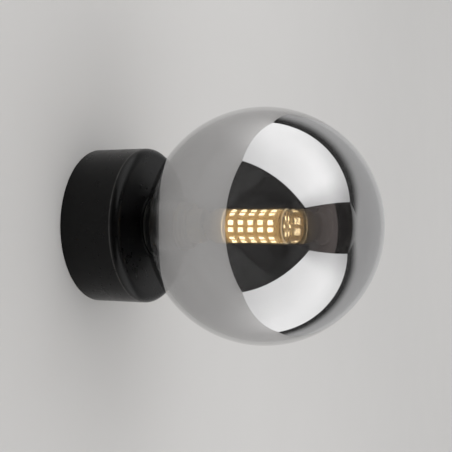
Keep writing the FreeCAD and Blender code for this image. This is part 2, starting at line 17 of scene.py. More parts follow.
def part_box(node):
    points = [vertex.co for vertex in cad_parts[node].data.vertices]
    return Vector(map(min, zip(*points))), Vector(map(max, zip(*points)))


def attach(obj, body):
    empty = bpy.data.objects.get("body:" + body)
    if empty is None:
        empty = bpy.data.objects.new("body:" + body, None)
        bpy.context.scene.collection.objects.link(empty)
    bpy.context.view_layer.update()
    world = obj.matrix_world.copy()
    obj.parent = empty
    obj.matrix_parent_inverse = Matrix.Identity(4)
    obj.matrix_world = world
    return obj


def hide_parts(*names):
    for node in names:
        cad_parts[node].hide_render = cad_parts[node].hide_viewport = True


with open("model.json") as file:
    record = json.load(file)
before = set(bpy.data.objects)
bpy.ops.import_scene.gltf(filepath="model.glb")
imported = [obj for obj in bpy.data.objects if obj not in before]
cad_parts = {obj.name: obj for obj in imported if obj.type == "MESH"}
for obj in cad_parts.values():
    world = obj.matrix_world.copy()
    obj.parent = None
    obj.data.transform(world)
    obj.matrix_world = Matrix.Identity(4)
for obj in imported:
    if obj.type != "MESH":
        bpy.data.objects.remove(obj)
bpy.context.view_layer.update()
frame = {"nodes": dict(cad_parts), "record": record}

MM = 0.001
TOUCH = 0.001 * MM       # points closer than this are one point
nodes = frame["nodes"]
scene = bpy.context.scene
scene.view_settings.view_transform = "Standard"
print("nodes in the frame:", len(nodes))

# %% [markdown]
# The lamp stands out from the wall along -Y, so a "depth" in this file is a distance out from the
# wall, and a radius is taken from the lamp's axis. Where a piece sits is read from the frame and not
# typed in, so it follows a new pack of the solids. Its smaller sizes are typed beside each piece.

# %% Read the main places from the frame


def depths(node):
    """Nearest and farthest distance of a node from the wall."""
    low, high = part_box(node)
    return -high.y, -low.y


def widest_radius(node):
    low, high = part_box(node)
    return max(high.x, high.z, -low.x, -low.z)


canopy_radius = widest_radius("canopy")
globe_radius = (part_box("glass_globe")[1].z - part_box("glass_globe")[0].z) / 2
globe_end = depths("glass_globe")[1]
globe_depth = globe_end - globe_radius
globe_centre = Vector((0, -globe_depth, 0))
print("globe radius", round(globe_radius / MM, 2), "mm, centre", round(globe_depth / MM, 2), "mm out")

# %% [markdown]
# The camera stands where the photograph was taken from: level with the lamp, 67 degrees round to one
# side, and leaning by a third of a degree. A focal length in pixels is what the outlines of the canopy and
# the ball give, and a lens follows from it and the sensor's width.

# %% Camera
IMAGE_SIZE = 452
FOCAL_PIXELS = 830.0
SENSOR_WIDTH = 36.0
CAMERA_AZIMUTH = math.radians(-67.05)
CAMERA_ROLL = math.radians(0.36)
CAMERA_DISTANCE = 7.0 * globe_radius
NEAR_CLIP = 10 * MM
GLOBE_PIXEL_X = 264.25

right = Vector((math.cos(CAMERA_AZIMUTH), math.sin(CAMERA_AZIMUTH), 0))
back = Vector((math.sin(CAMERA_AZIMUTH), -math.cos(CAMERA_AZIMUTH), 0))
beside = (GLOBE_PIXEL_X - IMAGE_SIZE / 2) / FOCAL_PIXELS * CAMERA_DISTANCE

camera_data = bpy.data.cameras.new("camera")
camera = bpy.data.objects.new("camera", camera_data)
scene.collection.objects.link(camera)
scene.camera = camera
camera_data.sensor_width = SENSOR_WIDTH
camera_data.lens = FOCAL_PIXELS / IMAGE_SIZE * SENSOR_WIDTH
camera_data.clip_start = NEAR_CLIP
camera.location = globe_centre + back * CAMERA_DISTANCE - right * beside
camera.rotation_euler = (
    Matrix.Rotation(CAMERA_AZIMUTH, 3, "Z")
    @ Matrix.Rotation(math.radians(90), 3, "X")
    @ Matrix.Rotation(CAMERA_ROLL, 3, "Z")
).to_euler()
print("camera at", [round(c, 3) for c in camera.location], "lens", round(camera_data.lens, 1))

# %% [markdown]
# The globe, the sleeve and the lamp's cover are all round, so one helper does what a lathe does: it
# sweeps a closed outline round the lamp's axis. It can also follow a screw thread. A thread is only a
# wave that moves along the axis by one pitch for each turn, so each point asks a function how far to
# step out at its own angle and depth. Blender's Screw modifier could sweep the outline too, but it
# can't add that wave.

# %% A new piece


def new_piece(name, verts, faces, smooth=True):
    mesh = bpy.data.meshes.new(name)
    mesh.from_pydata(verts, [], faces)
    mesh.validate()
    mesh.update()
    if smooth:
        mesh.shade_smooth()
    piece = bpy.data.objects.new(name, mesh)
    scene.collection.objects.link(piece)
    return piece


def outward(piece):
    """Turns every face of a closed piece to the outside."""
    bm = bmesh.new()
    bm.from_mesh(piece.data)
    bmesh.ops.recalc_face_normals(bm, faces=bm.faces)
    bm.to_mesh(piece.data)
    bm.free()
    return piece


def report(piece):
    print(piece.name, "has", len(piece.data.vertices), "points")
    return piece


# %% The lathe


def lathe(name, outline, segments=128, step_out=None):
    """Sweeps a closed (radius, depth) outline round the axis. A point on the axis makes a pole."""
    verts = []
    rows = []
    for radius, depth in outline:
        if radius < TOUCH:
            rows.append([len(verts)] * segments)
            verts.append((0, -depth, 0))
            continue
        rows.append([len(verts) + s for s in range(segments)])
        for s in range(segments):
            angle = 2 * math.pi * s / segments
            r = radius + (step_out(radius, depth, angle) if step_out else 0)
            verts.append((r * math.cos(angle), -depth, r * math.sin(angle)))
    faces = []
    for a, b in zip(rows, rows[1:] + rows[:1]):
        for s in range(segments):
            t = (s + 1) % segments
            corners = []
            for corner in (a[s], a[t], b[t], b[s]):
                if corner not in corners:
                    corners.append(corner)
            if len(corners) > 2:
                faces.append(corners)
    return outward(new_piece(name, verts, faces))


# %% Arcs and straight runs of an outline


def arc(centre, radius, start, end, steps):
    """Points of an arc in the (radius, depth) plane; angles in degrees from the radius axis."""
    points = []
    for step in range(steps + 1):
        angle = math.radians(start + (end - start) * step / steps)
        points.append((centre[0] + radius * math.cos(angle), centre[1] + radius * math.sin(angle)))
    return points


def straight(start, end, steps):
    """Points of a straight run, without its last one."""
    return [(start[0] + (end[0] - start[0]) * s / steps, start[1] + (end[1] - start[1]) * s / steps)
            for s in range(steps)]


# %% [markdown]
# The globe screws onto the sleeve with a round glass thread, and it moves by one pitch for each turn,
# as the part's joints do. Both threads below are one function, so that they have the same pitch and
# the same round form. The wave fades in and out at both ends, as a moulded thread does. One fault is
# left in it: it winds left-handed, but the joints turn the globe as on a right-handed thread. With a
# minus before the angle it would wind as they do.

# %% The screw thread
THREAD_PITCH = 2.5 * MM


def thread_wave(depth, angle, start, end):
    """A wave from 0 to 1 that runs along the thread and fades to 0 at both ends."""
    turn = depth / THREAD_PITCH + angle / (2 * math.pi)
    wave = 0.5 - 0.5 * math.cos(2 * math.pi * turn)
    fade = min(1.0, max(0.0, min(depth - start, end - depth) / THREAD_PITCH))
    return wave * fade


print("thread pitch", THREAD_PITCH / MM, "mm")

# %% [markdown]
# The globe is one wall of blown glass, about 2 mm thick. At the mouth the wall turns inwards and
# becomes a neck inside the ball, which is why no collar shows outside. The outline starts at the lip,
# goes along the ball's outside to its far end, and comes back along its inside and round the neck. The
# lip, the root of the neck and its end are arcs, because molten glass has no sharp corner. The thread
# swells the neck outwards only, so it stays clear of the sleeve inside it.

# %% Sizes of the globe
SLEEVE_RADIUS = 12.5 * MM
GLOBE_WALL = 2.0 * MM
NECK_WALL = 2.2 * MM
NECK_LENGTH = 14.0 * MM
LIP_RADIUS = 0.9 * MM
NECK_ROOT_RADIUS = 1.2 * MM
NECK_PLAY = 0.3 * MM
GLASS_THREAD = 0.55 * MM
GLOBE_SEGMENTS = 192
BALL_STEPS = 96
BEND_STEPS = 8
TIP_STEPS = 10
NECK_STEPS = 40
BORE_STEPS = 56
neck_bore = SLEEVE_RADIUS + NECK_PLAY
neck_outside = neck_bore + NECK_WALL
lip_depth = depths("glass_globe")[0]
neck_end = lip_depth + NECK_LENGTH
print("the neck is", round(2 * neck_outside / MM, 1), "mm across outside")

# %% Glass globe


def ball_blend(ball, side, bend):
    """Centre of the arc that joins a ball to a cylinder, and its slope where it meets the ball."""
    out = side + bend
    depth = globe_depth - math.sqrt((ball - bend) ** 2 - out ** 2)
    return (out, depth), math.degrees(math.atan2(depth - globe_depth, out))


def globe_outline():
    inner = globe_radius - GLOBE_WALL
    middle = (0, globe_depth)
    lip, lip_slope = ball_blend(globe_radius, neck_bore, LIP_RADIUS)
    root, root_slope = ball_blend(inner, neck_outside, NECK_ROOT_RADIUS)
    tip = (neck_bore + NECK_WALL / 2, neck_end - NECK_WALL / 2)
    points = arc(lip, LIP_RADIUS, -180, lip_slope, BEND_STEPS)
    points += arc(middle, globe_radius, lip_slope, 90, BALL_STEPS)[1:-1]
    points += [(0, globe_depth + globe_radius), (0, globe_depth + inner)]
    points += arc(middle, inner, 90, root_slope, BALL_STEPS)[1:-1]
    points += arc(root, NECK_ROOT_RADIUS, root_slope, -180, BEND_STEPS)
    points += straight((neck_outside, root[1]), (neck_outside, tip[1]), NECK_STEPS)[1:]
    points += arc(tip, NECK_WALL / 2, 0, 180, TIP_STEPS)
    points += straight((neck_bore, tip[1]), (neck_bore, lip[1]), BORE_STEPS)[1:]
    return points


def glass_thread(radius, depth, angle):
    """The thread swells the neck and leaves the ball alone."""
    if radius > neck_outside + TOUCH:
        return 0.0
    return GLASS_THREAD * thread_wave(depth, angle, lip_depth + LIP_RADIUS, neck_end - NECK_WALL / 2)


globe = report(lathe("glass_globe_shell", globe_outline(), GLOBE_SEGMENTS, glass_thread))
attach(globe, "globe")
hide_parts("glass_globe")

# %% [markdown]
# The lampholder's sleeve is moulded plastic with a thread all along its outside. It keeps the solid's
# outline, and its crests touch the solid's outer radius, so the thread is cut in and adds nothing.

# %% Threaded sleeve
SLEEVE_THREAD = 0.7 * MM
SLEEVE_FLOOR = 3.0 * MM
SLEEVE_FLANGE = 1.0 * MM
SLEEVE_EDGE = 0.4 * MM
NIPPLE_HOLE = 5.1 * MM
HOLDER_SHOULDER = 1.7 * MM
HOLDER_FLANGE = 1.9 * MM
RING_FIT = 0.1 * MM
SLEEVE_STEPS = 96
SHARP_ANGLE = math.radians(40)
sleeve_low, sleeve_mouth = depths("threaded_sleeve")
sleeve_flange_radius = widest_radius("threaded_sleeve")
sleeve_bore = widest_radius("holder_body") - HOLDER_SHOULDER
rim_bore = widest_radius("retaining_ring") + RING_FIT
ledge_depth = depths("retaining_ring")[0] - HOLDER_FLANGE


def sleeve_outline():
    face = sleeve_low + SLEEVE_FLANGE
    side_end = sleeve_mouth - SLEEVE_EDGE
    floor = sleeve_low + SLEEVE_FLOOR
    points = [(NIPPLE_HOLE, sleeve_low), (sleeve_flange_radius, sleeve_low)]
    points += [(sleeve_flange_radius, face), (SLEEVE_RADIUS, face)]
    points += straight((SLEEVE_RADIUS, face), (SLEEVE_RADIUS, side_end), SLEEVE_STEPS)[1:]
    points += [(SLEEVE_RADIUS, side_end), (SLEEVE_RADIUS - SLEEVE_EDGE, sleeve_mouth)]
    points += [(rim_bore, sleeve_mouth), (rim_bore, ledge_depth), (sleeve_bore, ledge_depth)]
    points += [(sleeve_bore, floor), (NIPPLE_HOLE, floor)]
    return points


def sleeve_thread(radius, depth, angle):
    """The thread is cut into the side only."""
    if abs(radius - SLEEVE_RADIUS) > TOUCH:
        return 0.0
    start = sleeve_low + SLEEVE_FLANGE
    return -SLEEVE_THREAD * thread_wave(depth, angle, start, sleeve_mouth - SLEEVE_EDGE)


sleeve = report(lathe("sleeve_with_thread", sleeve_outline(), step_out=sleeve_thread))
sleeve.data.set_sharp_from_angle(angle=SHARP_ANGLE)
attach(sleeve, "base")
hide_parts("threaded_sleeve")

# %% [markdown]
# The lamp's cover is a thin clear cup. Its rim at the base and the edge round its end catch the light
# of the LEDs. The solid's rim is square and its end is flat, so here the rim is rounded and the end is
# a little domed, as moulded clear plastic often is.

# %% Clear lamp cover
COVER_WALL = 0.8 * MM
COVER_EDGE = 1.5 * MM
COVER_DOME = 0.25 * MM
COVER_FIT = 0.05 * MM
ROUND_STEPS = 12
cover_radius = widest_radius("lamp_cover")
cover_start, cover_end = depths("lamp_cover")


def cover_outline():
    edge_depth = cover_end - COVER_DOME - COVER_EDGE
    edge_radius = cover_radius - COVER_EDGE
    rim = (cover_radius - COVER_WALL / 2, cover_start + COVER_FIT + COVER_WALL / 2)
    points = arc(rim, COVER_WALL / 2, -180, 0, ROUND_STEPS)
    points += arc((edge_radius, edge_depth), COVER_EDGE, 0, 90, ROUND_STEPS)
    halfway = cover_end - COVER_DOME / 4
    points += [(edge_radius / 2, halfway), (0, cover_end), (0, cover_end - COVER_WALL)]
    points += [(edge_radius / 2, halfway - COVER_WALL)]
    points += arc((edge_radius, edge_depth), COVER_EDGE - COVER_WALL, 90, 0, BEND_STEPS)
    return points


cover = report(lathe("clear_lamp_cover", cover_outline()))
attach(cover, "lamp")
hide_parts("lamp_cover")

# %% [markdown]
# Each LED is a small moulded frame, open at the top, filled with yellow phosphor that glows. The
# solids have one plain block for each LED, and their places are read back from those blocks: a block
# is a loose part of the node's mesh, and its middle and its way up give a matrix. A package is then
# modelled once for each of its two sizes, as rings of points from the foot over the bevelled rim into
# the cup, and is set into every place. The phosphor is a slightly domed part of its own, so that it
# can glow by itself.

# %% Read the LEDs' places


def loose_blocks(node):
    """The corners of each separate block in a node's mesh."""
    bm = bmesh.new()
    bm.from_mesh(nodes[node].data)
    bmesh.ops.remove_doubles(bm, verts=bm.verts, dist=TOUCH)
    blocks = []
    seen = set()
    for first in bm.verts:
        if first in seen:
            continue
        stack = [first]
        seen.add(first)
        corners = []
        while stack:
            vert = stack.pop()
            corners.append(vert.co.copy())
            for edge in vert.link_edges:
                other = edge.other_vert(vert)
                if other not in seen:
                    seen.add(other)
                    stack.append(other)
        blocks.append(corners)
    bm.free()
    return blocks


def block_place(corners, up, along):
    """A matrix from the middle of a block's foot, with Z up and X along the package."""
    middle = sum(corners, Vector()) / len(corners)
    foot = middle + up * min((corner - middle).dot(up) for corner in corners)
    across = up.cross(along)
    place = Matrix((along, across, up)).transposed().to_4x4()
    place.translation = foot
    return place


OUT = Vector((0, -1, 0))
CORE_SIDES = 6
side_places = []
for corners in loose_blocks("side_chips"):
    middle = sum(corners, Vector()) / len(corners)
    side = round(math.atan2(middle.z, middle.x) * CORE_SIDES / (2 * math.pi))
    turn = 2 * math.pi * side / CORE_SIDES
    side_places.append(block_place(corners, Vector((math.cos(turn), 0, math.sin(turn))), OUT))
end_places = []
for corners in loose_blocks("end_chips"):
    middle = sum(corners, Vector()) / len(corners)
    end_places.append(block_place(corners, OUT, Vector((middle.x, 0, middle.z)).normalized()))
print("LEDs on the sides:", len(side_places), "and on the end:", len(end_places))

# %% Rounded rings
CORNER_ROUNDS = 3


def rounded_ring(length, width, corner, height):
    """A rectangle of points with rounded corners, at one height."""
    ring = []
    for quarter in range(4):
        x = (length / 2 - corner) * (1 if quarter in (0, 3) else -1)
        y = (width / 2 - corner) * (1 if quarter in (0, 1) else -1)
        for step in range(CORNER_ROUNDS + 1):
            angle = math.radians(90 * (quarter + step / CORNER_ROUNDS))
            ring.append(Vector((x + corner * math.cos(angle), y + corner * math.sin(angle), height)))
    return ring


def join_rings(rings):
    """Faces between rings of equal length, under the first and over the last, to a middle point."""
    count = len(rings[0])
    faces = [tuple(reversed(range(count)))]
    for row in range(len(rings) - 1):
        for s in range(count):
            t = (s + 1) % count
            faces.append((row * count + s, row * count + t, (row + 1) * count + t, (row + 1) * count + s))
    middle = len(rings) * count
    last = (len(rings) - 1) * count
    faces += [(last + s, last + (s + 1) % count, middle) for s in range(count)]
    return faces


def closed_part(rings, crown, shift=0.0):
    """Points and faces of a part made of rings, with its crown at a height and moved along X."""
    step = Vector((shift, 0, 0))
    verts = [point + step for ring in rings for point in ring]
    verts.append(Vector((shift, 0, crown)))
    return verts, join_rings(rings)


# %% Model the LED packages
FRAME_WALL = 0.26 * MM
FRAME_BEVEL = 0.07 * MM
FRAME_CORNER = 0.12 * MM
CUP_MOUTH_CORNER = 0.30 * MM
CUP_FLOOR_CORNER = 0.26 * MM
CUP_FLOOR_SHARE = 0.62
FILL_WALL = 0.30 * MM
FILL_CORNER = 0.28 * MM
FILL_SHARE = 0.90
PHOSPHOR_DOME = 0.06 * MM
DOME_RING_CORNER = 0.2 * MM
DOME_RING_SHARE = 0.6
DOME_RING_RISE = 0.7


def led_frame(length, width, height):
    """Rings of the moulded frame: up the outside, over the rim and down into the cup."""
    cup = CUP_FLOOR_SHARE * height
    rings = [rounded_ring(length, width, FRAME_CORNER, 0.0),
             rounded_ring(length, width, FRAME_CORNER, height - FRAME_BEVEL)]
    for inset, corner, level in ((2 * FRAME_BEVEL, FRAME_CORNER, height),
                                 (2 * FRAME_WALL, CUP_MOUTH_CORNER, height),
                                 (3 * FRAME_WALL, CUP_FLOOR_CORNER, cup)):
        rings.append(rounded_ring(length - inset, width - inset, corner, level))
    return closed_part(rings, cup)


def led_phosphor(length, width, height):
    """The domed fill: its edge is just under the frame's rim, and its crown is level with it."""
    fill_length = length - 2 * FILL_WALL
    fill_width = width - 2 * FILL_WALL
    fill = FILL_SHARE * height
    rings = [rounded_ring(fill_length, fill_width, FILL_CORNER, fill),
             rounded_ring(fill_length * DOME_RING_SHARE, fill_width * DOME_RING_SHARE, DOME_RING_CORNER,
                          fill + DOME_RING_RISE * PHOSPHOR_DOME)]
    return closed_part(rings, fill + PHOSPHOR_DOME)


def set_in_places(name, part, places, smooth):
    """One mesh with a copy of the part in every place."""
    part_verts, part_faces = part
    verts = []
    faces = []
    for place in places:
        first = len(verts)
        verts += [place @ v for v in part_verts]
        faces += [tuple(first + corner for corner in face) for face in part_faces]
    piece = new_piece(name, verts, faces, smooth)
    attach(piece, "lamp")
    return piece


SIDE_LED = (3.3 * MM, 2.8 * MM, 0.6 * MM)
END_LED = (2.9 * MM, 2.2 * MM, 0.6 * MM)
side_frames = set_in_places("side_led_frames", led_frame(*SIDE_LED), side_places, False)
side_phosphor = set_in_places("side_led_phosphor", led_phosphor(*SIDE_LED), side_places, True)
end_frames = set_in_places("end_led_frames", led_frame(*END_LED), end_places, False)
end_phosphor = set_in_places("end_led_phosphor", led_phosphor(*END_LED), end_places, True)
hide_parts("side_chips")
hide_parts("end_chips")
for piece in (side_frames, side_phosphor, end_frames, end_phosphor):
    report(piece)

# %% [markdown]
# A board isn't bare between its LEDs: copper tracks join them, and a solder fillet shows at each end
# of a package. Both lie on the board as thin pads. They share the LEDs' places, so a pad is only
# another part that is set into the same matrices, moved along the package.

# %% Copper pads and solder
TRACK_SIZE = (5.0 * MM, 1.5 * MM, 0.04 * MM)
TRACK_TOP = 0.97
SOLDER_SIZE = (0.7 * MM, 1.9 * MM, 0.22 * MM)
SOLDER_TOP = 0.5
SOLDER_REACH = 0.1 * MM
PAD_CORNER = 0.1 * MM
PAD_TOP_CORNER = 0.08 * MM


def pad(size, top_share, shift=0.0):
    """A low block with a smaller top."""
    length, width, height = size
    rings = [rounded_ring(length, width, PAD_CORNER, 0.0),
             rounded_ring(length * top_share, width * top_share, PAD_TOP_CORNER, height)]
    return closed_part(rings, height, shift)


tracks = set_in_places("led_tracks", pad(TRACK_SIZE, TRACK_TOP), side_places, False)
solders = []
for end, name in ((-1, "solder_rear"), (1, "solder_front")):
    fillet = pad(SOLDER_SIZE, SOLDER_TOP, end * (SIDE_LED[0] / 2 + SOLDER_REACH))
    solder = set_in_places(name, fillet, side_places, True)
    solders.append(solder)
print("pads on the boards:", (1 + len(solders)) * len(side_places))

# %% [markdown]
# # Finishes
# A real surface is never one flat colour. Four small effects cover this lamp, and each is a node
# group, which is to materials what a function is to code: built once, with named inputs, and placed
# wherever it is needed with its own values. The shader itself stays in each material.

# %% Node helpers


def feed(tree, socket, value):
    """Links a socket to a value that is an output, and sets any other value on it."""
    if isinstance(value, bpy.types.NodeSocket):
        tree.links.new(value, socket)
    else:
        socket.default_value = (*value, 1) if isinstance(value, tuple) else value


def feed_named(tree, node, values):
    for name, value in values.items():
        feed(tree, node.inputs[name.replace("_", " ")], value)
    return node


def add(tree, kind, **values):
    """A node with its inputs fed by name."""
    return feed_named(tree, tree.nodes.new(kind), values)


def calculate(tree, operation, first, second=0.0):
    node = tree.nodes.new("ShaderNodeMath")
    node.operation = operation
    feed(tree, node.inputs[0], first)
    feed(tree, node.inputs[1], second)
    return node.outputs[0]


def blend_colours(tree, share, first, second):
    node = tree.nodes.new("ShaderNodeMix")
    node.data_type = "RGBA"
    for index, value in ((0, share), (6, first), (7, second)):
        feed(tree, node.inputs[index], value)
    return node.outputs[2]


def spread(tree, mask, low, high):
    """Maps a mask from 0..1 to low..high."""
    return add(tree, "ShaderNodeMapRange", Value=mask, To_Min=low, To_Max=high).outputs["Result"]


def passage(tree, value, low, high):
    """A mask that goes from 0 at low to 1 at high."""
    return add(tree, "ShaderNodeMapRange", Value=value, From_Min=low, From_Max=high).outputs["Result"]


def own_place(tree):
    """Where a point is on its own object."""
    return tree.nodes.new("ShaderNodeTexCoord").outputs["Object"]


def own_axis(tree, axis):
    """One coordinate of that place. Along Y it is minus the depth."""
    return add(tree, "ShaderNodeSeparateXYZ", Vector=own_place(tree)).outputs[axis]


# %% A new node group


def new_group(name, inputs, outputs):
    """A shader node group with inputs given as {name: default} and outputs as {name: type}."""
    group = bpy.data.node_groups.new(name, "ShaderNodeTree")
    for socket_name, value in inputs.items():
        kind = "NodeSocketColor" if isinstance(value, tuple) else "NodeSocketFloat"
        socket = group.interface.new_socket(socket_name, in_out="INPUT", socket_type=kind)
        socket.default_value = (*value, 1) if isinstance(value, tuple) else value
    for socket_name, kind in outputs.items():
        group.interface.new_socket(socket_name, in_out="OUTPUT", socket_type=kind)
    print("group:", name)
    return group, group.nodes.new("NodeGroupInput"), group.nodes.new("NodeGroupOutput")


def one_over(group, socket):
    """A texture's scale from the real size of what it shows."""
    return calculate(group, "DIVIDE", 1.0, socket)


# %% [markdown]
# "Cloudy tone" is the slow change of tone over a painted, moulded or glazed surface. Two noises of
# different size are multiplied, so that the clouds are uneven themselves. The mask also goes out, so
# that a material can let its roughness follow the same clouds.

# %% Cloudy tone
FLECKS_PER_CLOUD = 5.3
CLOUD_RANGE = (0.12, 0.42)
cloudy_tone, inside, outside = new_group(
    "cloudy tone",
    {"Dark": (0.1, 0.1, 0.1), "Light": (0.2, 0.2, 0.2), "Cloud Size": 0.02},
    {"Color": "NodeSocketColor", "Mask": "NodeSocketFloat"})
place = own_place(cloudy_tone)
cloud_scale = one_over(cloudy_tone, inside.outputs["Cloud Size"])
fleck_scale = calculate(cloudy_tone, "MULTIPLY", cloud_scale, FLECKS_PER_CLOUD)
clouds = add(cloudy_tone, "ShaderNodeTexNoise", Vector=place, Scale=cloud_scale, Detail=4.0)
flecks = add(cloudy_tone, "ShaderNodeTexNoise", Vector=place, Scale=fleck_scale, Detail=2.0)
both = calculate(cloudy_tone, "MULTIPLY", clouds.outputs["Fac"], flecks.outputs["Fac"])
mask = passage(cloudy_tone, both, *CLOUD_RANGE)
colour = blend_colours(cloudy_tone, mask, inside.outputs["Dark"], inside.outputs["Light"])
cloudy_tone.links.new(colour, outside.inputs["Color"])
cloudy_tone.links.new(mask, outside.inputs["Mask"])

# %% [markdown]
# "Fine grain" is the small relief of powder coat, moulded plastic and rubber. Rounded cells look like
# the tiny domes that powder leaves when it melts, and a little noise keeps them from looking regular.
# The group gives only a height: the Bump node that turns it into a normal is in each material.

# %% Fine grain
fine_grain, inside, outside = new_group(
    "fine grain", {"Grain Size": 0.0005, "Roundness": 0.5}, {"Height": "NodeSocketFloat"})
place = own_place(fine_grain)
grain_scale = one_over(fine_grain, inside.outputs["Grain Size"])
domes = add(fine_grain, "ShaderNodeTexVoronoi", Vector=place, Scale=grain_scale)
domes.feature = "SMOOTH_F1"
noise = add(fine_grain, "ShaderNodeTexNoise", Vector=place, Scale=grain_scale, Detail=3.0)
dome_height = calculate(fine_grain, "SUBTRACT", 1.0, domes.outputs["Distance"])
domed = calculate(fine_grain, "MULTIPLY", dome_height, inside.outputs["Roundness"])
rest = calculate(fine_grain, "SUBTRACT", 1.0, inside.outputs["Roundness"])
noisy = calculate(fine_grain, "MULTIPLY", noise.outputs["Fac"], rest)
fine_grain.links.new(calculate(fine_grain, "ADD", domed, noisy), outside.inputs["Height"])

# %% [markdown]
# "Tool lines" are what a lathe or a press leaves on small metal parts: fine lines that lie close
# together along the depth and run on around it. A noise that is stretched along the other two axes
# gives them. Its mask drives the roughness as well, so that the lines catch the light and don't only
# tilt it.

# %% Tool lines
LINE_RANGE = (0.3, 0.7)
tool_lines, inside, outside = new_group(
    "tool lines", {"Line Size": 0.0003, "Stretch": 30.0}, {"Mask": "NodeSocketFloat"})
line_scale = one_over(tool_lines, inside.outputs["Line Size"])
along_scale = calculate(tool_lines, "DIVIDE", line_scale, inside.outputs["Stretch"])
stretched = tool_lines.nodes.new("ShaderNodeCombineXYZ")
for axis, scale in (("X", along_scale), ("Y", line_scale), ("Z", along_scale)):
    scaled = calculate(tool_lines, "MULTIPLY", own_axis(tool_lines, axis), scale)
    tool_lines.links.new(scaled, stretched.inputs[axis])
lines = add(tool_lines, "ShaderNodeTexNoise", Vector=stretched.outputs["Vector"], Scale=1.0, Detail=3.0)
tool_lines.links.new(passage(tool_lines, lines.outputs["Fac"], *LINE_RANGE), outside.inputs["Mask"])

# %% [markdown]
# "Specks" are the few grains of dust and tiny marks that any clean object still has. Cells of a
# Voronoi texture are small dots when only their middles are kept. Each cell also has a colour of its
# own, and comparing it with a share leaves most of them out.

# %% Specks
DOT_RANGE = (0.02, 0.05)
specks, inside, outside = new_group(
    "specks", {"Spacing": 0.008, "Share": 0.3}, {"Mask": "NodeSocketFloat"})
cells = add(specks, "ShaderNodeTexVoronoi", Vector=own_place(specks),
            Scale=one_over(specks, inside.outputs["Spacing"]))
dots = calculate(specks, "SUBTRACT", 1.0, passage(specks, cells.outputs["Distance"], *DOT_RANGE))
chosen = add(specks, "ShaderNodeSeparateColor", Color=cells.outputs["Color"])
kept = calculate(specks, "LESS_THAN", chosen.outputs["Red"], inside.outputs["Share"])
specks.links.new(calculate(specks, "MULTIPLY", dots, kept), outside.inputs["Mask"])

# %% [markdown]
# Every opaque finish is then the same short recipe with its own values: clouds for the colour and the
# roughness, and grain or tool lines for the relief. What is the same all over a surface is set
# straight on the shader's socket.

# %% Material helpers


def new_material(name):
    material = bpy.data.materials.new(name)
    material.use_nodes = True
    return material, *shader_of(material)


def shader_of(material):
    return material.node_tree, material.node_tree.nodes["Principled BSDF"]


def place_group(tree, group, **values):
    node = tree.nodes.new("ShaderNodeGroup")
    node.node_tree = group
    return feed_named(tree, node, values)


def raise_relief(tree, shader, height, size):
    """A Bump node from a height from 0 to 1; size is the relief's real height."""
    bump = add(tree, "ShaderNodeBump", Height=height, Distance=size, Strength=1.0)
    tree.links.new(bump.outputs["Normal"], shader.inputs["Normal"])


def paint_over(material, mask, colour):
    """Blends a finish's own colour into another one where the mask is 1."""
    tree, shader = shader_of(material)
    own = shader.inputs["Base Color"].links[0].from_socket
    tree.links.new(blend_colours(tree, mask, own, colour), shader.inputs["Base Color"])


def shade(colour, share):
    return tuple(part * share for part in colour)


# %% The recipes for an opaque finish


def grained_finish(name, dark, light, cloud, rough, grain, relief, roundness=0.5):
    """Painted, moulded, rubber or glazed: clouds and a fine grain."""
    material, tree, shader = new_material(name)
    tone = place_group(tree, cloudy_tone, Dark=dark, Light=light, Cloud_Size=cloud)
    tree.links.new(tone.outputs["Color"], shader.inputs["Base Color"])
    tree.links.new(spread(tree, tone.outputs["Mask"], *rough), shader.inputs["Roughness"])
    texture = place_group(tree, fine_grain, Grain_Size=grain, Roundness=roundness)
    raise_relief(tree, shader, texture.outputs["Height"], relief)
    return material


def worked_finish(name, dark, light, cloud, rough, line, stretch, relief):
    """Bare or plated metal: clouds of tarnish and the lines of the tool."""
    material, tree, shader = new_material(name)
    tone = place_group(tree, cloudy_tone, Dark=dark, Light=light, Cloud_Size=cloud)
    tree.links.new(tone.outputs["Color"], shader.inputs["Base Color"])
    marks = place_group(tree, tool_lines, Line_Size=line, Stretch=stretch)
    uneven = calculate(tree, "MULTIPLY", tone.outputs["Mask"], marks.outputs["Mask"])
    tree.links.new(spread(tree, uneven, *rough), shader.inputs["Roughness"])
    raise_relief(tree, shader, marks.outputs["Mask"], relief)
    shader.inputs["Metallic"].default_value = 1.0
    return material


# %% [markdown]
# The canopy is powder coated: a matte black with a fine orange peel. A thin paler line runs round it
# where its side turns into the rounded front edge: a painted highlight, where that edge catches the light.
# The line is a mask on the distance from that depth, broken up by the coat's own clouds. Painting it by
# hand would look as good, but it would need an image, and a mask follows the solid.

# %% Powder coat with a painted highlight on its edge
EDGE_BEND = 4.2 * MM
# The paler line round the rim is a painted highlight.
HIGHLIGHT_WIDTH = 0.55 * MM
HIGHLIGHT_CORE = HIGHLIGHT_WIDTH / 4
HIGHLIGHT_LEAST = 0.45
HIGHLIGHT_COLOUR = (0.050, 0.049, 0.048)
POWDER_GLOSS = 0.18


def paint_edge_highlight(material):
    """Paints a highlight: lightens the coat along the line where the side turns into the front edge."""
    tree, shader = shader_of(material)
    tone = shader.inputs["Base Color"].links[0].from_node
    line_depth = depths("canopy")[1] - EDGE_BEND
    off = calculate(tree, "ABSOLUTE", calculate(tree, "ADD", own_axis(tree, "Y"), line_depth))
    line = add(tree, "ShaderNodeMapRange", Value=off, From_Min=HIGHLIGHT_CORE, From_Max=HIGHLIGHT_WIDTH,
               To_Min=1.0, To_Max=0.0)
    broken = spread(tree, tone.outputs["Mask"], HIGHLIGHT_LEAST, 1.0)
    # Paints the highlight line over the coat.
    paint_over(material, calculate(tree, "MULTIPLY", line.outputs["Result"], broken), HIGHLIGHT_COLOUR)


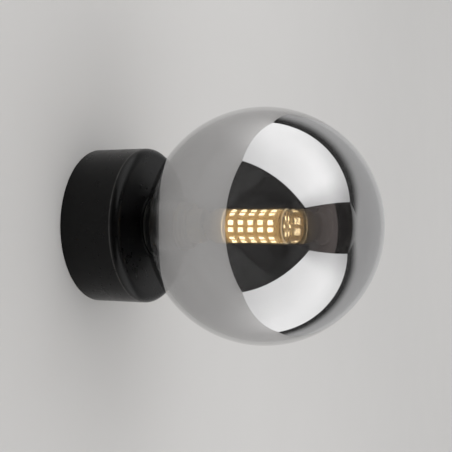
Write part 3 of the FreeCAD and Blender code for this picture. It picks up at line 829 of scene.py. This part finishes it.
def powder_coat():
    material = grained_finish(
        "matte black powder coat", dark=(0.0014, 0.0014, 0.0015), light=(0.0032, 0.0031, 0.0031),
        cloud=18 * MM, rough=(0.26, 0.36), grain=0.42 * MM, relief=0.007 * MM, roundness=0.6)
    shader_of(material)[1].inputs["Specular IOR Level"].default_value = POWDER_GLOSS
    paint_edge_highlight(material)
    return material


finishes = {"black_steel": powder_coat()}
print("finishes so far:", len(finishes))

# %% [markdown]
# The moulded parts differ in grain and in gloss. The terminal block is duller than the lampholder,
# rubber is the dullest, and clear silicone lets the black behind it through. The silicone's colour is
# also kept dark as painted shade, because the gasket sits in the shaded gap under the globe.

# %% Plastic, rubber and silicone


def moulded_white(name):
    return grained_finish(name, dark=(0.62, 0.60, 0.56), light=(0.74, 0.72, 0.68), cloud=9 * MM,
                          rough=(0.30, 0.46), grain=0.3 * MM, relief=0.006 * MM)


def clear_silicone():
    # Its dark colour is painted shade for the gap under the globe.
    material = grained_finish(
        "clear silicone", dark=(0.14, 0.14, 0.135), light=(0.22, 0.22, 0.21),
        cloud=5 * MM, rough=(0.28, 0.42), grain=0.5 * MM, relief=0.008 * MM)
    tree, shader = shader_of(material)
    shader.inputs["Transmission Weight"].default_value = 0.9
    shader.inputs["IOR"].default_value = 1.41
    return material


finishes["white_plastic"] = moulded_white("white moulded plastic")
finishes["terminal_plastic"] = grained_finish(
    "terminal block plastic", dark=(0.60, 0.59, 0.55), light=(0.72, 0.71, 0.67),
    cloud=6 * MM, rough=(0.42, 0.58), grain=0.25 * MM, relief=0.010 * MM)
finishes["black_rubber"] = grained_finish(
    "black rubber", dark=(0.020, 0.020, 0.021), light=(0.042, 0.041, 0.040),
    cloud=4 * MM, rough=(0.58, 0.78), grain=0.18 * MM, relief=0.010 * MM)
finishes["clear_silicone"] = clear_silicone()
print("finishes so far:", len(finishes))

# %% [markdown]
# The gap under the globe is black with shade, so the sleeve's flange, which lies on the canopy, gets
# painted shade here and is coloured black. The painted shade ends just above the flange: a mask on the
# depth blends the plastic's own clouds into black over a fraction of a millimetre.

# %% Sleeve plastic with painted shade on the flange
SHADE_EDGE = 0.25 * MM
FLANGE_SHADE = (0.004, 0.004, 0.004)


def sleeve_plastic():
    material = moulded_white("sleeve plastic")
    tree = material.node_tree
    flange_top = sleeve_low + SLEEVE_FLANGE + SHADE_EDGE
    shaded_flange = passage(tree, own_axis(tree, "Y"), -flange_top - SHADE_EDGE, -flange_top)
    # Painted shade: the flange goes black in the shaded gap under the globe.
    paint_over(material, shaded_flange, FLANGE_SHADE)
    return material


sleeve_finish = sleeve_plastic()
print("sleeve finish:", sleeve_finish.name)

# %% [markdown]
# Glazed ceramic has two layers: an ivory body with small iron specks, and a clear glaze over it. The
# shader's coat is the glaze. The specks darken the body's colour only, so they lie under the shine.

# %% Ceramic
CERAMIC_SPECK = (0.42, 0.36, 0.28)


def glazed_ceramic(name):
    material = grained_finish(
        name, dark=(0.66, 0.62, 0.53), light=(0.78, 0.75, 0.67),
        cloud=7 * MM, rough=(0.34, 0.50), grain=0.6 * MM, relief=0.012 * MM)
    tree, shader = shader_of(material)
    iron = place_group(tree, specks, Spacing=2.2 * MM, Share=0.35)
    paint_over(material, iron.outputs["Mask"], CERAMIC_SPECK)
    shader.inputs["Coat Weight"].default_value = 0.6
    shader.inputs["Coat Roughness"].default_value = 0.08
    return material


finishes["ceramic"] = glazed_ceramic("glazed ceramic")
print("finishes so far:", len(finishes))

# %% [markdown]
# The small metal parts differ in colour and in how they were made. The wall plate is pressed sheet
# with a blue-white zinc plating, the nipple and the lamp's pins are nickel plated, the tubes and the
# tag are plain brass, and the contacts are a redder spring bronze.

# %% Metal finishes
finishes["zinc_steel"] = worked_finish(
    "zinc plated steel", dark=(0.50, 0.52, 0.55), light=(0.70, 0.70, 0.68),
    cloud=12 * MM, rough=(0.26, 0.48), line=0.25 * MM, stretch=12.0, relief=0.003 * MM)
finishes["nickel_brass"] = worked_finish(
    "nickel plated brass", dark=(0.58, 0.56, 0.50), light=(0.74, 0.72, 0.66),
    cloud=3 * MM, rough=(0.16, 0.32), line=0.20 * MM, stretch=60.0, relief=0.004 * MM)
finishes["brass"] = worked_finish(
    "plain brass", dark=(0.60, 0.43, 0.19), light=(0.78, 0.61, 0.31),
    cloud=3 * MM, rough=(0.22, 0.40), line=0.22 * MM, stretch=40.0, relief=0.004 * MM)
finishes["spring_bronze"] = worked_finish(
    "spring bronze", dark=(0.50, 0.30, 0.17), light=(0.70, 0.47, 0.28),
    cloud=2 * MM, rough=(0.24, 0.38), line=0.15 * MM, stretch=20.0, relief=0.002 * MM)
print("finishes so far:", len(finishes))

# %% [markdown]
# The wires' insulation is soft plastic in the usual colours. The earth wire has two: yellow with green
# bands. A wave texture gives the bands, and the grain and the clouds are the same recipe as before.

# %% Wire insulation
EARTH_GREEN = (0.060, 0.300, 0.050)
BANDS_SCALE = 170.0
BANDS_WOBBLE = 1.5
BAND_EDGE = (0.45, 0.55)


def insulation(name, dark, light):
    return grained_finish(name, dark=dark, light=light, cloud=5 * MM,
                          rough=(0.34, 0.48), grain=0.2 * MM, relief=0.004 * MM)


def earth_insulation():
    material = insulation("green and yellow insulation", (0.66, 0.56, 0.04), (0.80, 0.70, 0.07))
    tree = material.node_tree
    bands = add(tree, "ShaderNodeTexWave", Vector=own_place(tree), Scale=BANDS_SCALE,
                Distortion=BANDS_WOBBLE)
    bands.bands_direction = "Y"
    paint_over(material, passage(tree, bands.outputs["Fac"], *BAND_EDGE), EARTH_GREEN)
    return material


finishes["brown_insulation"] = insulation("brown insulation", (0.13, 0.055, 0.028), (0.21, 0.095, 0.050))
finishes["blue_insulation"] = insulation("blue insulation", (0.030, 0.110, 0.38), (0.055, 0.165, 0.50))
finishes["earth_insulation"] = earth_insulation()
print("finishes so far:", len(finishes))

# %% [markdown]
# The LED boards carry a pale solder mask; its amber colour and glow here are painted light from the
# LEDs. The phosphor is the light source: it gives off a warm white in soft clouds. The frame round it is
# white plastic with a painted glow, for the light that leaks through it. The solder gets the same painted
# glow, and the end board and its frames a weaker one.

# %% LED board, phosphor and frames
GLOW = (1.0, 0.84, 0.58)
AMBER = (1.0, 0.70, 0.35)
PHOSPHOR_STRENGTH = 15.0
BOARD_STRENGTH = 2.5
FRAME_STRENGTH = 3.0
SOLDER_STRENGTH = 2.2
END_STRENGTH = 0.9
GLOW_CLOUD = 1.2 * MM
BOARD_DIM = 0.7
LED_DIM = 0.86


def light_up(material, colour, low, strength):
    """Lets a finish give off cloudy light, down to the share low of its full colour."""
    tree, shader = shader_of(material)
    tone = place_group(tree, cloudy_tone, Dark=shade(colour, low), Light=colour, Cloud_Size=GLOW_CLOUD)
    tree.links.new(tone.outputs["Color"], shader.inputs["Emission Color"])
    shader.inputs["Emission Strength"].default_value = strength
    return material


def lit_board(name, strength):
    # The board's amber colour and its glow are painted light from the LEDs.
    board = grained_finish(name, dark=(0.70, 0.44, 0.16), light=(0.86, 0.60, 0.26), cloud=2 * MM,
                           rough=(0.30, 0.44), grain=0.3 * MM, relief=0.006 * MM)
    return light_up(board, AMBER, BOARD_DIM, strength)


def lit_led(name, colour, strength, dark, light):
    led = grained_finish(name, dark=dark, light=light, cloud=0.9 * MM, rough=(0.35, 0.5),
                         grain=0.12 * MM, relief=0.004 * MM)
    return light_up(led, colour, LED_DIM, strength)


def lit_frame(name, strength):
    return lit_led(name, AMBER, strength, (0.78, 0.74, 0.66), (0.88, 0.85, 0.78))


finishes["led_board"] = lit_board("led board", BOARD_STRENGTH)
finishes["led_chip"] = lit_led("lit phosphor", GLOW, PHOSPHOR_STRENGTH,
                               (0.85, 0.62, 0.20), (0.95, 0.75, 0.32))
# The end board and its frames get a weaker painted glow.
end_board_finish = lit_board("end board", END_STRENGTH)
side_frame_finish = lit_frame("lit led frame", FRAME_STRENGTH)
end_frame_finish = lit_frame("end led frame", END_STRENGTH)
# Painted glow of the LEDs' light on the solder.
lit_solder = light_up(worked_finish(
    "solder in amber light", dark=(0.50, 0.50, 0.50), light=(0.70, 0.70, 0.68),
    cloud=1 * MM, rough=(0.26, 0.48), line=0.2 * MM, stretch=2.0, relief=0.002 * MM),
    AMBER, BOARD_DIM, SOLDER_STRENGTH)
print("finishes so far:", len(finishes))

# %% [markdown]
# The lamp's ceramic base gets a painted amber glow for the LEDs' light that reaches it through the end of
# the cover and sinks a little way into the glaze. The glow is strongest where the cover stands on the base
# and fades along it.

# %% Lit ceramic base
BASE_STRENGTH = 0.8
BASE_FADE_POWER = 2.5


def lit_ceramic():
    material = glazed_ceramic("glazed ceramic in amber light")
    tree, shader = shader_of(material)
    base_start, base_end = depths("lamp_base")
    near = passage(tree, own_axis(tree, "Y"), -base_start, -base_end)
    falling = calculate(tree, "POWER", near, BASE_FADE_POWER)
    # Painted glow that fades away from the cover.
    amber = blend_colours(tree, falling, (0.0, 0.0, 0.0), AMBER)
    tree.links.new(amber, shader.inputs["Emission Color"])
    shader.inputs["Emission Strength"].default_value = BASE_STRENGTH
    return material


lit_base = lit_ceramic()
print("base finish:", lit_base.name)

# %% [markdown]
# # The glass
# Smoked mirror glass has a thin metal film on it: part of the light bounces off as from a mirror, part
# goes through and is darkened. A metallic shader gives the mirror, and its Alpha is the film's
# density: what the film doesn't cover shows what is behind. The film is on one side of the wall only,
# so the faces that look away from the eye get no Alpha at all. At a grazing angle a little more is
# reflected, so Layer Weight raises Alpha towards the rim. The film is put on from the far end and
# gets thinner towards the neck, where the holder shows through. Plain transmission with a dark tint
# would give clear dark glass, with hardly any of the mirror's bright reflections. A long slow wave in
# the relief is the mark of blown glass, and a few specks break the film.

# %% Smoked mirror glass
FILM_COLOUR = (0.520, 0.517, 0.519)
FILM_CLOUD_SHADE = 0.975
FILM_FACING = 0.85
FILM_EDGE = 0.94
FILM_BLEND = 0.15
FILM_NECK_SHARE = 0.74
FILM_FULL_DEPTH = 80 * MM
DUST_COLOUR = (0.75, 0.74, 0.72)
DUST_ROUGHNESS = 0.35
BLOWN_WAVE = 34 * MM
BLOWN_RELIEF = 0.05 * MM


def slow_wave(tree, shader, width, height):
    """The long waves of blown or moulded clear material."""
    wave = add(tree, "ShaderNodeTexNoise", Vector=own_place(tree), Scale=1.0 / width, Detail=1.0)
    raise_relief(tree, shader, wave.outputs["Fac"], height)


def smoked_glass():
    material, tree, shader = new_material("smoked mirror glass")
    film = place_group(tree, cloudy_tone, Dark=shade(FILM_COLOUR, FILM_CLOUD_SHADE), Light=FILM_COLOUR,
                       Cloud_Size=30 * MM)
    tree.links.new(film.outputs["Color"], shader.inputs["Base Color"])
    dust = place_group(tree, specks, Spacing=9 * MM, Share=0.25).outputs["Mask"]
    paint_over(material, dust, DUST_COLOUR)
    tree.links.new(spread(tree, dust, 0.0, DUST_ROUGHNESS), shader.inputs["Roughness"])
    shader.inputs["Metallic"].default_value = 1.0
    facing = add(tree, "ShaderNodeLayerWeight", Blend=FILM_BLEND)
    density = spread(tree, facing.outputs["Facing"], FILM_FACING, FILM_EDGE)
    thinning = add(tree, "ShaderNodeMapRange", Value=own_axis(tree, "Y"), From_Min=-lip_depth,
                   From_Max=-FILM_FULL_DEPTH, To_Min=FILM_NECK_SHARE, To_Max=1.0)
    density = calculate(tree, "MULTIPLY", density, thinning.outputs["Result"])
    side = tree.nodes.new("ShaderNodeNewGeometry")
    coated = calculate(tree, "SUBTRACT", 1.0, side.outputs["Backfacing"])
    tree.links.new(calculate(tree, "MULTIPLY", density, coated), shader.inputs["Alpha"])
    slow_wave(tree, shader, BLOWN_WAVE, BLOWN_RELIEF)
    return material


finishes["smoked_glass"] = smoked_glass()
print("film density", FILM_FACING, "to", FILM_EDGE)

# %% [markdown]
# The lamp's own cover is plain clear plastic: full transmission and the plastic's index. Its amber glow
# is painted light: faint all over, and strong at the two rims, where light from the LEDs that runs along
# inside its wall would leave. The rims are found from the point's depth and its radius. Where the wall is
# seen edge-on the eye looks along that light too, so Layer Weight blends in a share of the same painted
# amber. A faint wave is left by the mould.

# %% Clear cover
# Painted glow: faint over the whole cover, strong on its rims.
COVER_LEAST_GLOW = (0.02, 0.014, 0.008)
COVER_RIM = (1.25, 1.02, 0.70)
RIM_WIDTH = 0.9 * MM
EDGE_ON_BLEND = 0.35
EDGE_ON_POWER = 3.0
EDGE_ON_SHARE = 0.30
MOULD_WAVE = 3.0 * MM
MOULD_RELIEF = 0.002 * MM


def rim_mask(tree):
    """1 on the cover's two rims."""
    x, y, z = (own_axis(tree, axis) for axis in "XYZ")
    squares = [calculate(tree, "MULTIPLY", part, part) for part in (x, z)]
    radius = calculate(tree, "SQRT", calculate(tree, "ADD", *squares))
    outer = calculate(tree, "GREATER_THAN", radius, cover_radius - RIM_WIDTH)
    front = calculate(tree, "LESS_THAN", y, -(cover_end - COVER_DOME - RIM_WIDTH))
    rear = calculate(tree, "GREATER_THAN", y, -(cover_start + RIM_WIDTH / 2))
    return calculate(tree, "MAXIMUM", calculate(tree, "MULTIPLY", outer, front), rear)


def clear_cover():
    material, tree, shader = new_material("clear lamp cover")
    tone = place_group(tree, cloudy_tone, Dark=(0.96, 0.90, 0.78), Light=(1.0, 0.96, 0.88),
                       Cloud_Size=6 * MM)
    tree.links.new(tone.outputs["Color"], shader.inputs["Base Color"])
    tree.links.new(spread(tree, tone.outputs["Mask"], 0.01, 0.05), shader.inputs["Roughness"])
    shader.inputs["Transmission Weight"].default_value = 1.0
    shader.inputs["IOR"].default_value = 1.49
    facing = add(tree, "ShaderNodeLayerWeight", Blend=EDGE_ON_BLEND)
    edge_on = calculate(tree, "POWER", facing.outputs["Facing"], EDGE_ON_POWER)
    dim = calculate(tree, "MULTIPLY", edge_on, EDGE_ON_SHARE)
    lit = calculate(tree, "MAXIMUM", dim, rim_mask(tree))
    # The painted amber glow, strongest on the rims.
    amber = blend_colours(tree, lit, COVER_LEAST_GLOW, COVER_RIM)
    tree.links.new(amber, shader.inputs["Emission Color"])
    shader.inputs["Emission Strength"].default_value = 1.0
    slow_wave(tree, shader, MOULD_WAVE, MOULD_RELIEF)
    return material


finishes["clear_cover"] = clear_cover()
print("finishes for the record's slots:", len(finishes))

# %% [markdown]
# The imported record says which finish each solid has, so the finishes are handed out from it. Only the
# new pieces, the end board and the lamp's base are given their finishes one by one.

# %% Hand out the finishes


def dress(piece, material):
    piece.data.materials.clear()
    piece.data.materials.append(material)


for subpart in frame["record"]["subparts"]:
    dress(nodes[subpart["node"]], finishes[subpart["material_slot"]])
by_hand = [(globe, finishes["smoked_glass"]), (cover, finishes["clear_cover"]), (sleeve, sleeve_finish),
           (side_phosphor, finishes["led_chip"]), (end_phosphor, finishes["led_chip"]),
           (side_frames, side_frame_finish), (end_frames, end_frame_finish),
           (tracks, finishes["led_board"]), (nodes["end_board"], end_board_finish),
           (nodes["lamp_base"], lit_base)]
by_hand += [(solder, lit_solder) for solder in solders]
for piece, finish in by_hand:
    dress(piece, finish)
print("dressed from the record:", len(nodes), "and by hand:", len(by_hand))

# %% [markdown]
# # The studio
# The wall is a plain pale board that shows the object's soft shadow. It has a round hole just inside
# the canopy's rim and is clear from behind, so that a view from the back shows the bracket.

# %% Wall
WALL_HALF = 14.0
WALL_GAP = 0.2 * MM
WALL_HOLE_EDGE = 0.5 * MM
WALL_SIDES = 128
WALL_COLOUR = (0.595, 0.585, 0.575)
WALL_CLOUD_SHADE = 0.985
wall_hole = canopy_radius - WALL_HOLE_EDGE


def wall_mesh():
    turns = [2 * math.pi * s / WALL_SIDES for s in range(WALL_SIDES)]
    verts = [(wall_hole * math.cos(a), WALL_GAP, wall_hole * math.sin(a)) for a in turns]
    for a in turns:
        reach = WALL_HALF / max(abs(math.cos(a)), abs(math.sin(a)))
        verts.append((reach * math.cos(a), WALL_GAP, reach * math.sin(a)))
    faces = []
    for s in range(WALL_SIDES):
        t = (s + 1) % WALL_SIDES
        faces.append((s, t, WALL_SIDES + t, WALL_SIDES + s))
    wall = new_piece("wall", verts, faces, smooth=False)
    if wall.data.polygons[0].normal.y > 0:
        wall.data.flip_normals()
    return wall


def wall_material():
    material, tree, shader = new_material("pale wall")
    tone = place_group(tree, cloudy_tone, Dark=shade(WALL_COLOUR, WALL_CLOUD_SHADE), Light=WALL_COLOUR,
                       Cloud_Size=350 * MM)
    tree.links.new(tone.outputs["Color"], shader.inputs["Base Color"])
    shader.inputs["Roughness"].default_value = 0.9
    shader.inputs["Specular IOR Level"].default_value = 0.1
    clear = tree.nodes.new("ShaderNodeBsdfTransparent")
    side = tree.nodes.new("ShaderNodeNewGeometry")
    mix = tree.nodes.new("ShaderNodeMixShader")
    tree.links.new(side.outputs["Backfacing"], mix.inputs["Fac"])
    tree.links.new(shader.outputs["BSDF"], mix.inputs[1])
    tree.links.new(clear.outputs["BSDF"], mix.inputs[2])
    tree.links.new(mix.outputs["Shader"], tree.nodes["Material Output"].inputs["Surface"])
    return material


wall = wall_mesh()
dress(wall, wall_material())
print("hole in the wall:", round(wall_hole / MM, 1), "mm in radius")

# %% [markdown]
# A mirror shows its surroundings, so the studio is half of this picture. By its reflections the lamp
# stood between two large softboxes, one above and one below, with dark cards between them on the near
# side and a dim room on the far side. Each one is a sheet here, invisible to the camera. A sheet's
# brightness is painted on its points as a colour attribute, which makes soft fades as easy as a
# formula. The cards only show in reflections and cast no shadow, so the wall stays evenly lit. Where a
# light has no edge, its sheet only adds to what is behind it.

# %% Light from the studio sheets


def painted_light(name, see_through):
    """Gives off the light that is painted on the sheet's points, alone or over what is behind it."""
    material = bpy.data.materials.new(name)
    material.use_nodes = True
    tree = material.node_tree
    tree.nodes.clear()
    paint = tree.nodes.new("ShaderNodeVertexColor")
    paint.layer_name = "light"
    light = add(tree, "ShaderNodeEmission", Color=paint.outputs["Color"], Strength=1.0).outputs[0]
    if see_through:
        both = tree.nodes.new("ShaderNodeAddShader")
        clear = tree.nodes.new("ShaderNodeBsdfTransparent")
        tree.links.new(light, both.inputs[0])
        tree.links.new(clear.outputs["BSDF"], both.inputs[1])
        light = both.outputs["Shader"]
    out = tree.nodes.new("ShaderNodeOutputMaterial")
    tree.links.new(light, out.inputs["Surface"])
    return material


sheet_light = painted_light("painted light", False)
added_light = painted_light("added light", True)
print("sheet materials:", sheet_light.name, "and", added_light.name)

# %% Studio sheets
SHEET_STEPS = 32
mirrored_sheets = []


def sheet(name, corners, brightness, light=sheet_light, lights_room=False, mirrored=True,
          tint=(1.0, 1.0, 1.0)):
    """A sheet between four corners round the globe. Its brightness is a function of the two shares
    between its corners and of the point itself."""
    a, b, c, d = [globe_centre + Vector(corner) for corner in corners]
    verts = []
    shades = []
    for row in range(SHEET_STEPS + 1):
        v = row / SHEET_STEPS
        for column in range(SHEET_STEPS + 1):
            u = column / SHEET_STEPS
            verts.append(a.lerp(b, u).lerp(d.lerp(c, u), v))
            shades.append(brightness(u, v, verts[-1] - globe_centre))
    wide = SHEET_STEPS + 1
    faces = [(r * wide + s, r * wide + s + 1, (r + 1) * wide + s + 1, (r + 1) * wide + s)
             for r in range(SHEET_STEPS) for s in range(SHEET_STEPS)]
    piece = new_piece(name, verts, faces)
    paint = piece.data.color_attributes.new("light", "FLOAT_COLOR", "POINT")
    for point, level in zip(paint.data, shades):
        point.color = (*shade(tint, level), 1)
    dress(piece, light)
    piece.visible_camera = False
    piece.visible_diffuse = lights_room
    piece.visible_glossy = mirrored
    piece.visible_shadow = False
    if mirrored:
        mirrored_sheets.append(name)
    print(name, "is", round(min(shades), 3), "to", round(max(shades), 3), "bright")


def even(level):
    """The same brightness all over a sheet."""
    def brightness(u, v, point):
        return level
    return brightness


def ramp(value, low, high):
    """A smooth step from 0 to 1."""
    share = min(1.0, max(0.0, (value - low) / (high - low)))
    return share * share * (3 - 2 * share)


# %% [markdown]
# The corners below are places in metres from the globe's middle. They follow from where the edges of
# the softboxes show on the ball: a point on a mirror ball shows one direction of the room.

# %% Corners of the softboxes
WALL_Y = 0.0925
upper_near = (-0.391, -0.610, 0.200)
upper_far = (0.197, -0.671, 0.200)
upper_far_wall = (0.583, WALL_Y, 1.452)
upper_near_wall = (-0.404, WALL_Y, 0.664)
lower_near = (-0.334, -0.630, -0.250)
lower_far = (0.197, -0.747, -0.250)
lower_far_wall = (1.025, WALL_Y, -1.885)
lower_near_wall = (-0.405, WALL_Y, -0.692)
upper_front_width = (Vector(upper_far) - Vector(upper_near)).length
print("upper softbox is", round(upper_front_width, 2), "m wide at its front edge")

# %% Softboxes
UPPER_STRENGTH = 1.92
LOWER_STRENGTH = 1.80
FRONT_FADE = 0.36
FRONT_STRIP = 0.20
NEAR_FADE = 0.16
NEAR_STRIP = 0.5
UPPER_CORNER_FADE = 0.36
LOWER_CORNER_FADE = 0.22
CORNER_START = 0.5
CORNER_END = 0.7
CORNER_SOFTNESS = 0.6
WALL_FADE = 0.06
WALL_FADE_RANGE = (0.15, 0.6)
NEAR_WALL_FADE = 0.14
NEAR_WALL_RANGE = (0.45, 1.0)
NEAR_WALL_SLANT = 0.6


def box_brightness(strength, corner_fade):
    """Dimmer along the front edge, where v is 0, towards the near side, the far front corner and
    the wall."""
    def brightness(u, v, point):
        front = 1 - FRONT_FADE * ramp(FRONT_STRIP - v, 0.0, FRONT_STRIP)
        side = 1 - NEAR_FADE * ramp(NEAR_STRIP - u, 0.0, NEAR_STRIP)
        corner = 1 - corner_fade * ramp(u, CORNER_START, 1.0) * ramp(CORNER_END - v, 0.0, CORNER_SOFTNESS)
        near_wall = NEAR_WALL_FADE * ramp(v - NEAR_WALL_SLANT * u, *NEAR_WALL_RANGE)
        wall_side = 1 - WALL_FADE * ramp(v, *WALL_FADE_RANGE) - near_wall
        return strength * front * side * corner * wall_side
    return brightness


sheet("upper_softbox", (upper_near, upper_far, upper_far_wall, upper_near_wall),
      box_brightness(UPPER_STRENGTH, UPPER_CORNER_FADE), lights_room=True)
sheet("lower_softbox", (lower_near, lower_far, lower_far_wall, lower_near_wall),
      box_brightness(LOWER_STRENGTH, LOWER_CORNER_FADE), lights_room=True)

# %% [markdown]
# The softboxes stop at the wall, and the wall next to them is bright. On the ball this is the soft
# passage from the softbox's picture into the grey of the wall.

# %% Bright wall by the softboxes
GLOW_FOOT = 0.15
GLOW_ANGLES = (58.0, 82.0)
GLOW_SHARE = 0.07
GLOW_NEAR_SHARE = 0.3


def glow_brightness(strength):
    """Rises with the angle above or below the globe, and from nothing at the near side."""
    def brightness(u, v, point):
        angle = math.degrees(math.atan2(abs(point.z), math.hypot(point.x, point.y)))
        return GLOW_SHARE * strength * ramp(angle, *GLOW_ANGLES) * ramp(u, 0.0, GLOW_NEAR_SHARE)
    return brightness


for name, near, far, foot, strength in (
        ("upper_wall_glow", upper_near_wall, upper_far_wall, GLOW_FOOT, UPPER_STRENGTH),
        ("lower_wall_glow", lower_near_wall, lower_far_wall, -GLOW_FOOT, LOWER_STRENGTH)):
    sheet(name, (near, far, (far[0], WALL_Y, foot), (near[0], WALL_Y, foot)),
          glow_brightness(strength), added_light)

# %% [markdown]
# Between the softboxes the ball shows dark things: a card on the near side, a paler one in front with
# a dark slot beyond it, and a dark strip along the far edge of each softbox, which fades into the
# grey of the room.

# %% Dark cards
CARD_TINT = (1.0, 0.84, 0.80)
NEAR_CARD = 0.006
FRONT_CARD = 0.135
FRONT_SLOT = 0.012
FRONT_NEAR_SHARE = 0.35
FRONT_RISE = (0.0, 0.55)
SLOT_EDGE = (0.60, 0.62)


def front_brightness(u, v, point):
    """A dim card over three fifths of the sheet's width, and a dark slot beyond it."""
    rise = FRONT_NEAR_SHARE + (1 - FRONT_NEAR_SHARE) * ramp(u, *FRONT_RISE)
    return FRONT_CARD * rise * (1 - ramp(u, *SLOT_EDGE)) + FRONT_SLOT


sheet("near_card", (upper_near, upper_near_wall, lower_near_wall, lower_near), even(NEAR_CARD),
      tint=CARD_TINT)
sheet("front_card", (upper_near, upper_far, lower_far, lower_near), front_brightness, tint=CARD_TINT)

# %% The dim room and its dark strips
ROOM = 0.58
LIP_DARK = 0.03
ROOM_ANGLES = (12.0, 24.0)
LIP_FADE = (0.30, 1.0)
ROOM_HEIGHT = 1.9
room_near = (0.150, -0.790)
room_far = (1.300, WALL_Y)
upper_lip_wall = (0.630, WALL_Y, 0.670)
upper_lip_near = (0.277, -0.669, 0.055)
lower_lip_wall = (1.080, WALL_Y, -1.180)
lower_lip_near = (0.270, -0.690, -0.080)


def room_brightness(u, v, point):
    """Dark next to the front card and grey farther round."""
    angle = math.degrees(math.atan2(point.x, -point.y))
    return LIP_DARK + (ROOM - LIP_DARK) * ramp(angle, *ROOM_ANGLES)


def lip_brightness(u, v, point):
    """Dark along the softbox, and as the room along the other edge."""
    return LIP_DARK + (room_brightness(u, v, point) - LIP_DARK) * ramp(v, *LIP_FADE)


sheet("upper_lip", (upper_far, upper_far_wall, upper_lip_wall, upper_lip_near), lip_brightness)
sheet("lower_lip", (lower_far, lower_far_wall, lower_lip_wall, lower_lip_near), lip_brightness)
sheet("dim_room", ((*room_near, ROOM_HEIGHT), (*room_far, ROOM_HEIGHT),
                   (*room_far, -ROOM_HEIGHT), (*room_near, -ROOM_HEIGHT)), room_brightness)
print("sheets that the ball shows:", len(mirrored_sheets))

# %% [markdown]
# Far beyond the lamp the photographed wall stays bright. One more light faces the wall there. The ball
# doesn't show it, and it only lifts the far part of the wall.

# %% Far light
FAR_LIGHT = 1.15
FAR_OUT = -0.9
FAR_START = 0.9
FAR_END = 3.4
FAR_HEIGHT = 1.1
sheet("far_light", ((FAR_START, FAR_OUT, FAR_HEIGHT), (FAR_END, FAR_OUT, FAR_HEIGHT),
                    (FAR_END, FAR_OUT, -FAR_HEIGHT), (FAR_START, FAR_OUT, -FAR_HEIGHT)),
      even(FAR_LIGHT), lights_room=True, mirrored=False)

# %% [markdown]
# A plain white world fills in the rest, at a level at which a colour renders about as it is written.

# %% World
WORLD_STRENGTH = 0.62
world = bpy.data.worlds.new("studio")
scene.world = world
world.use_nodes = True
background = world.node_tree.nodes["Background"]
background.inputs["Color"].default_value = (1.0, 1.0, 1.0, 1)
background.inputs["Strength"].default_value = WORLD_STRENGTH
print("world strength", WORLD_STRENGTH)
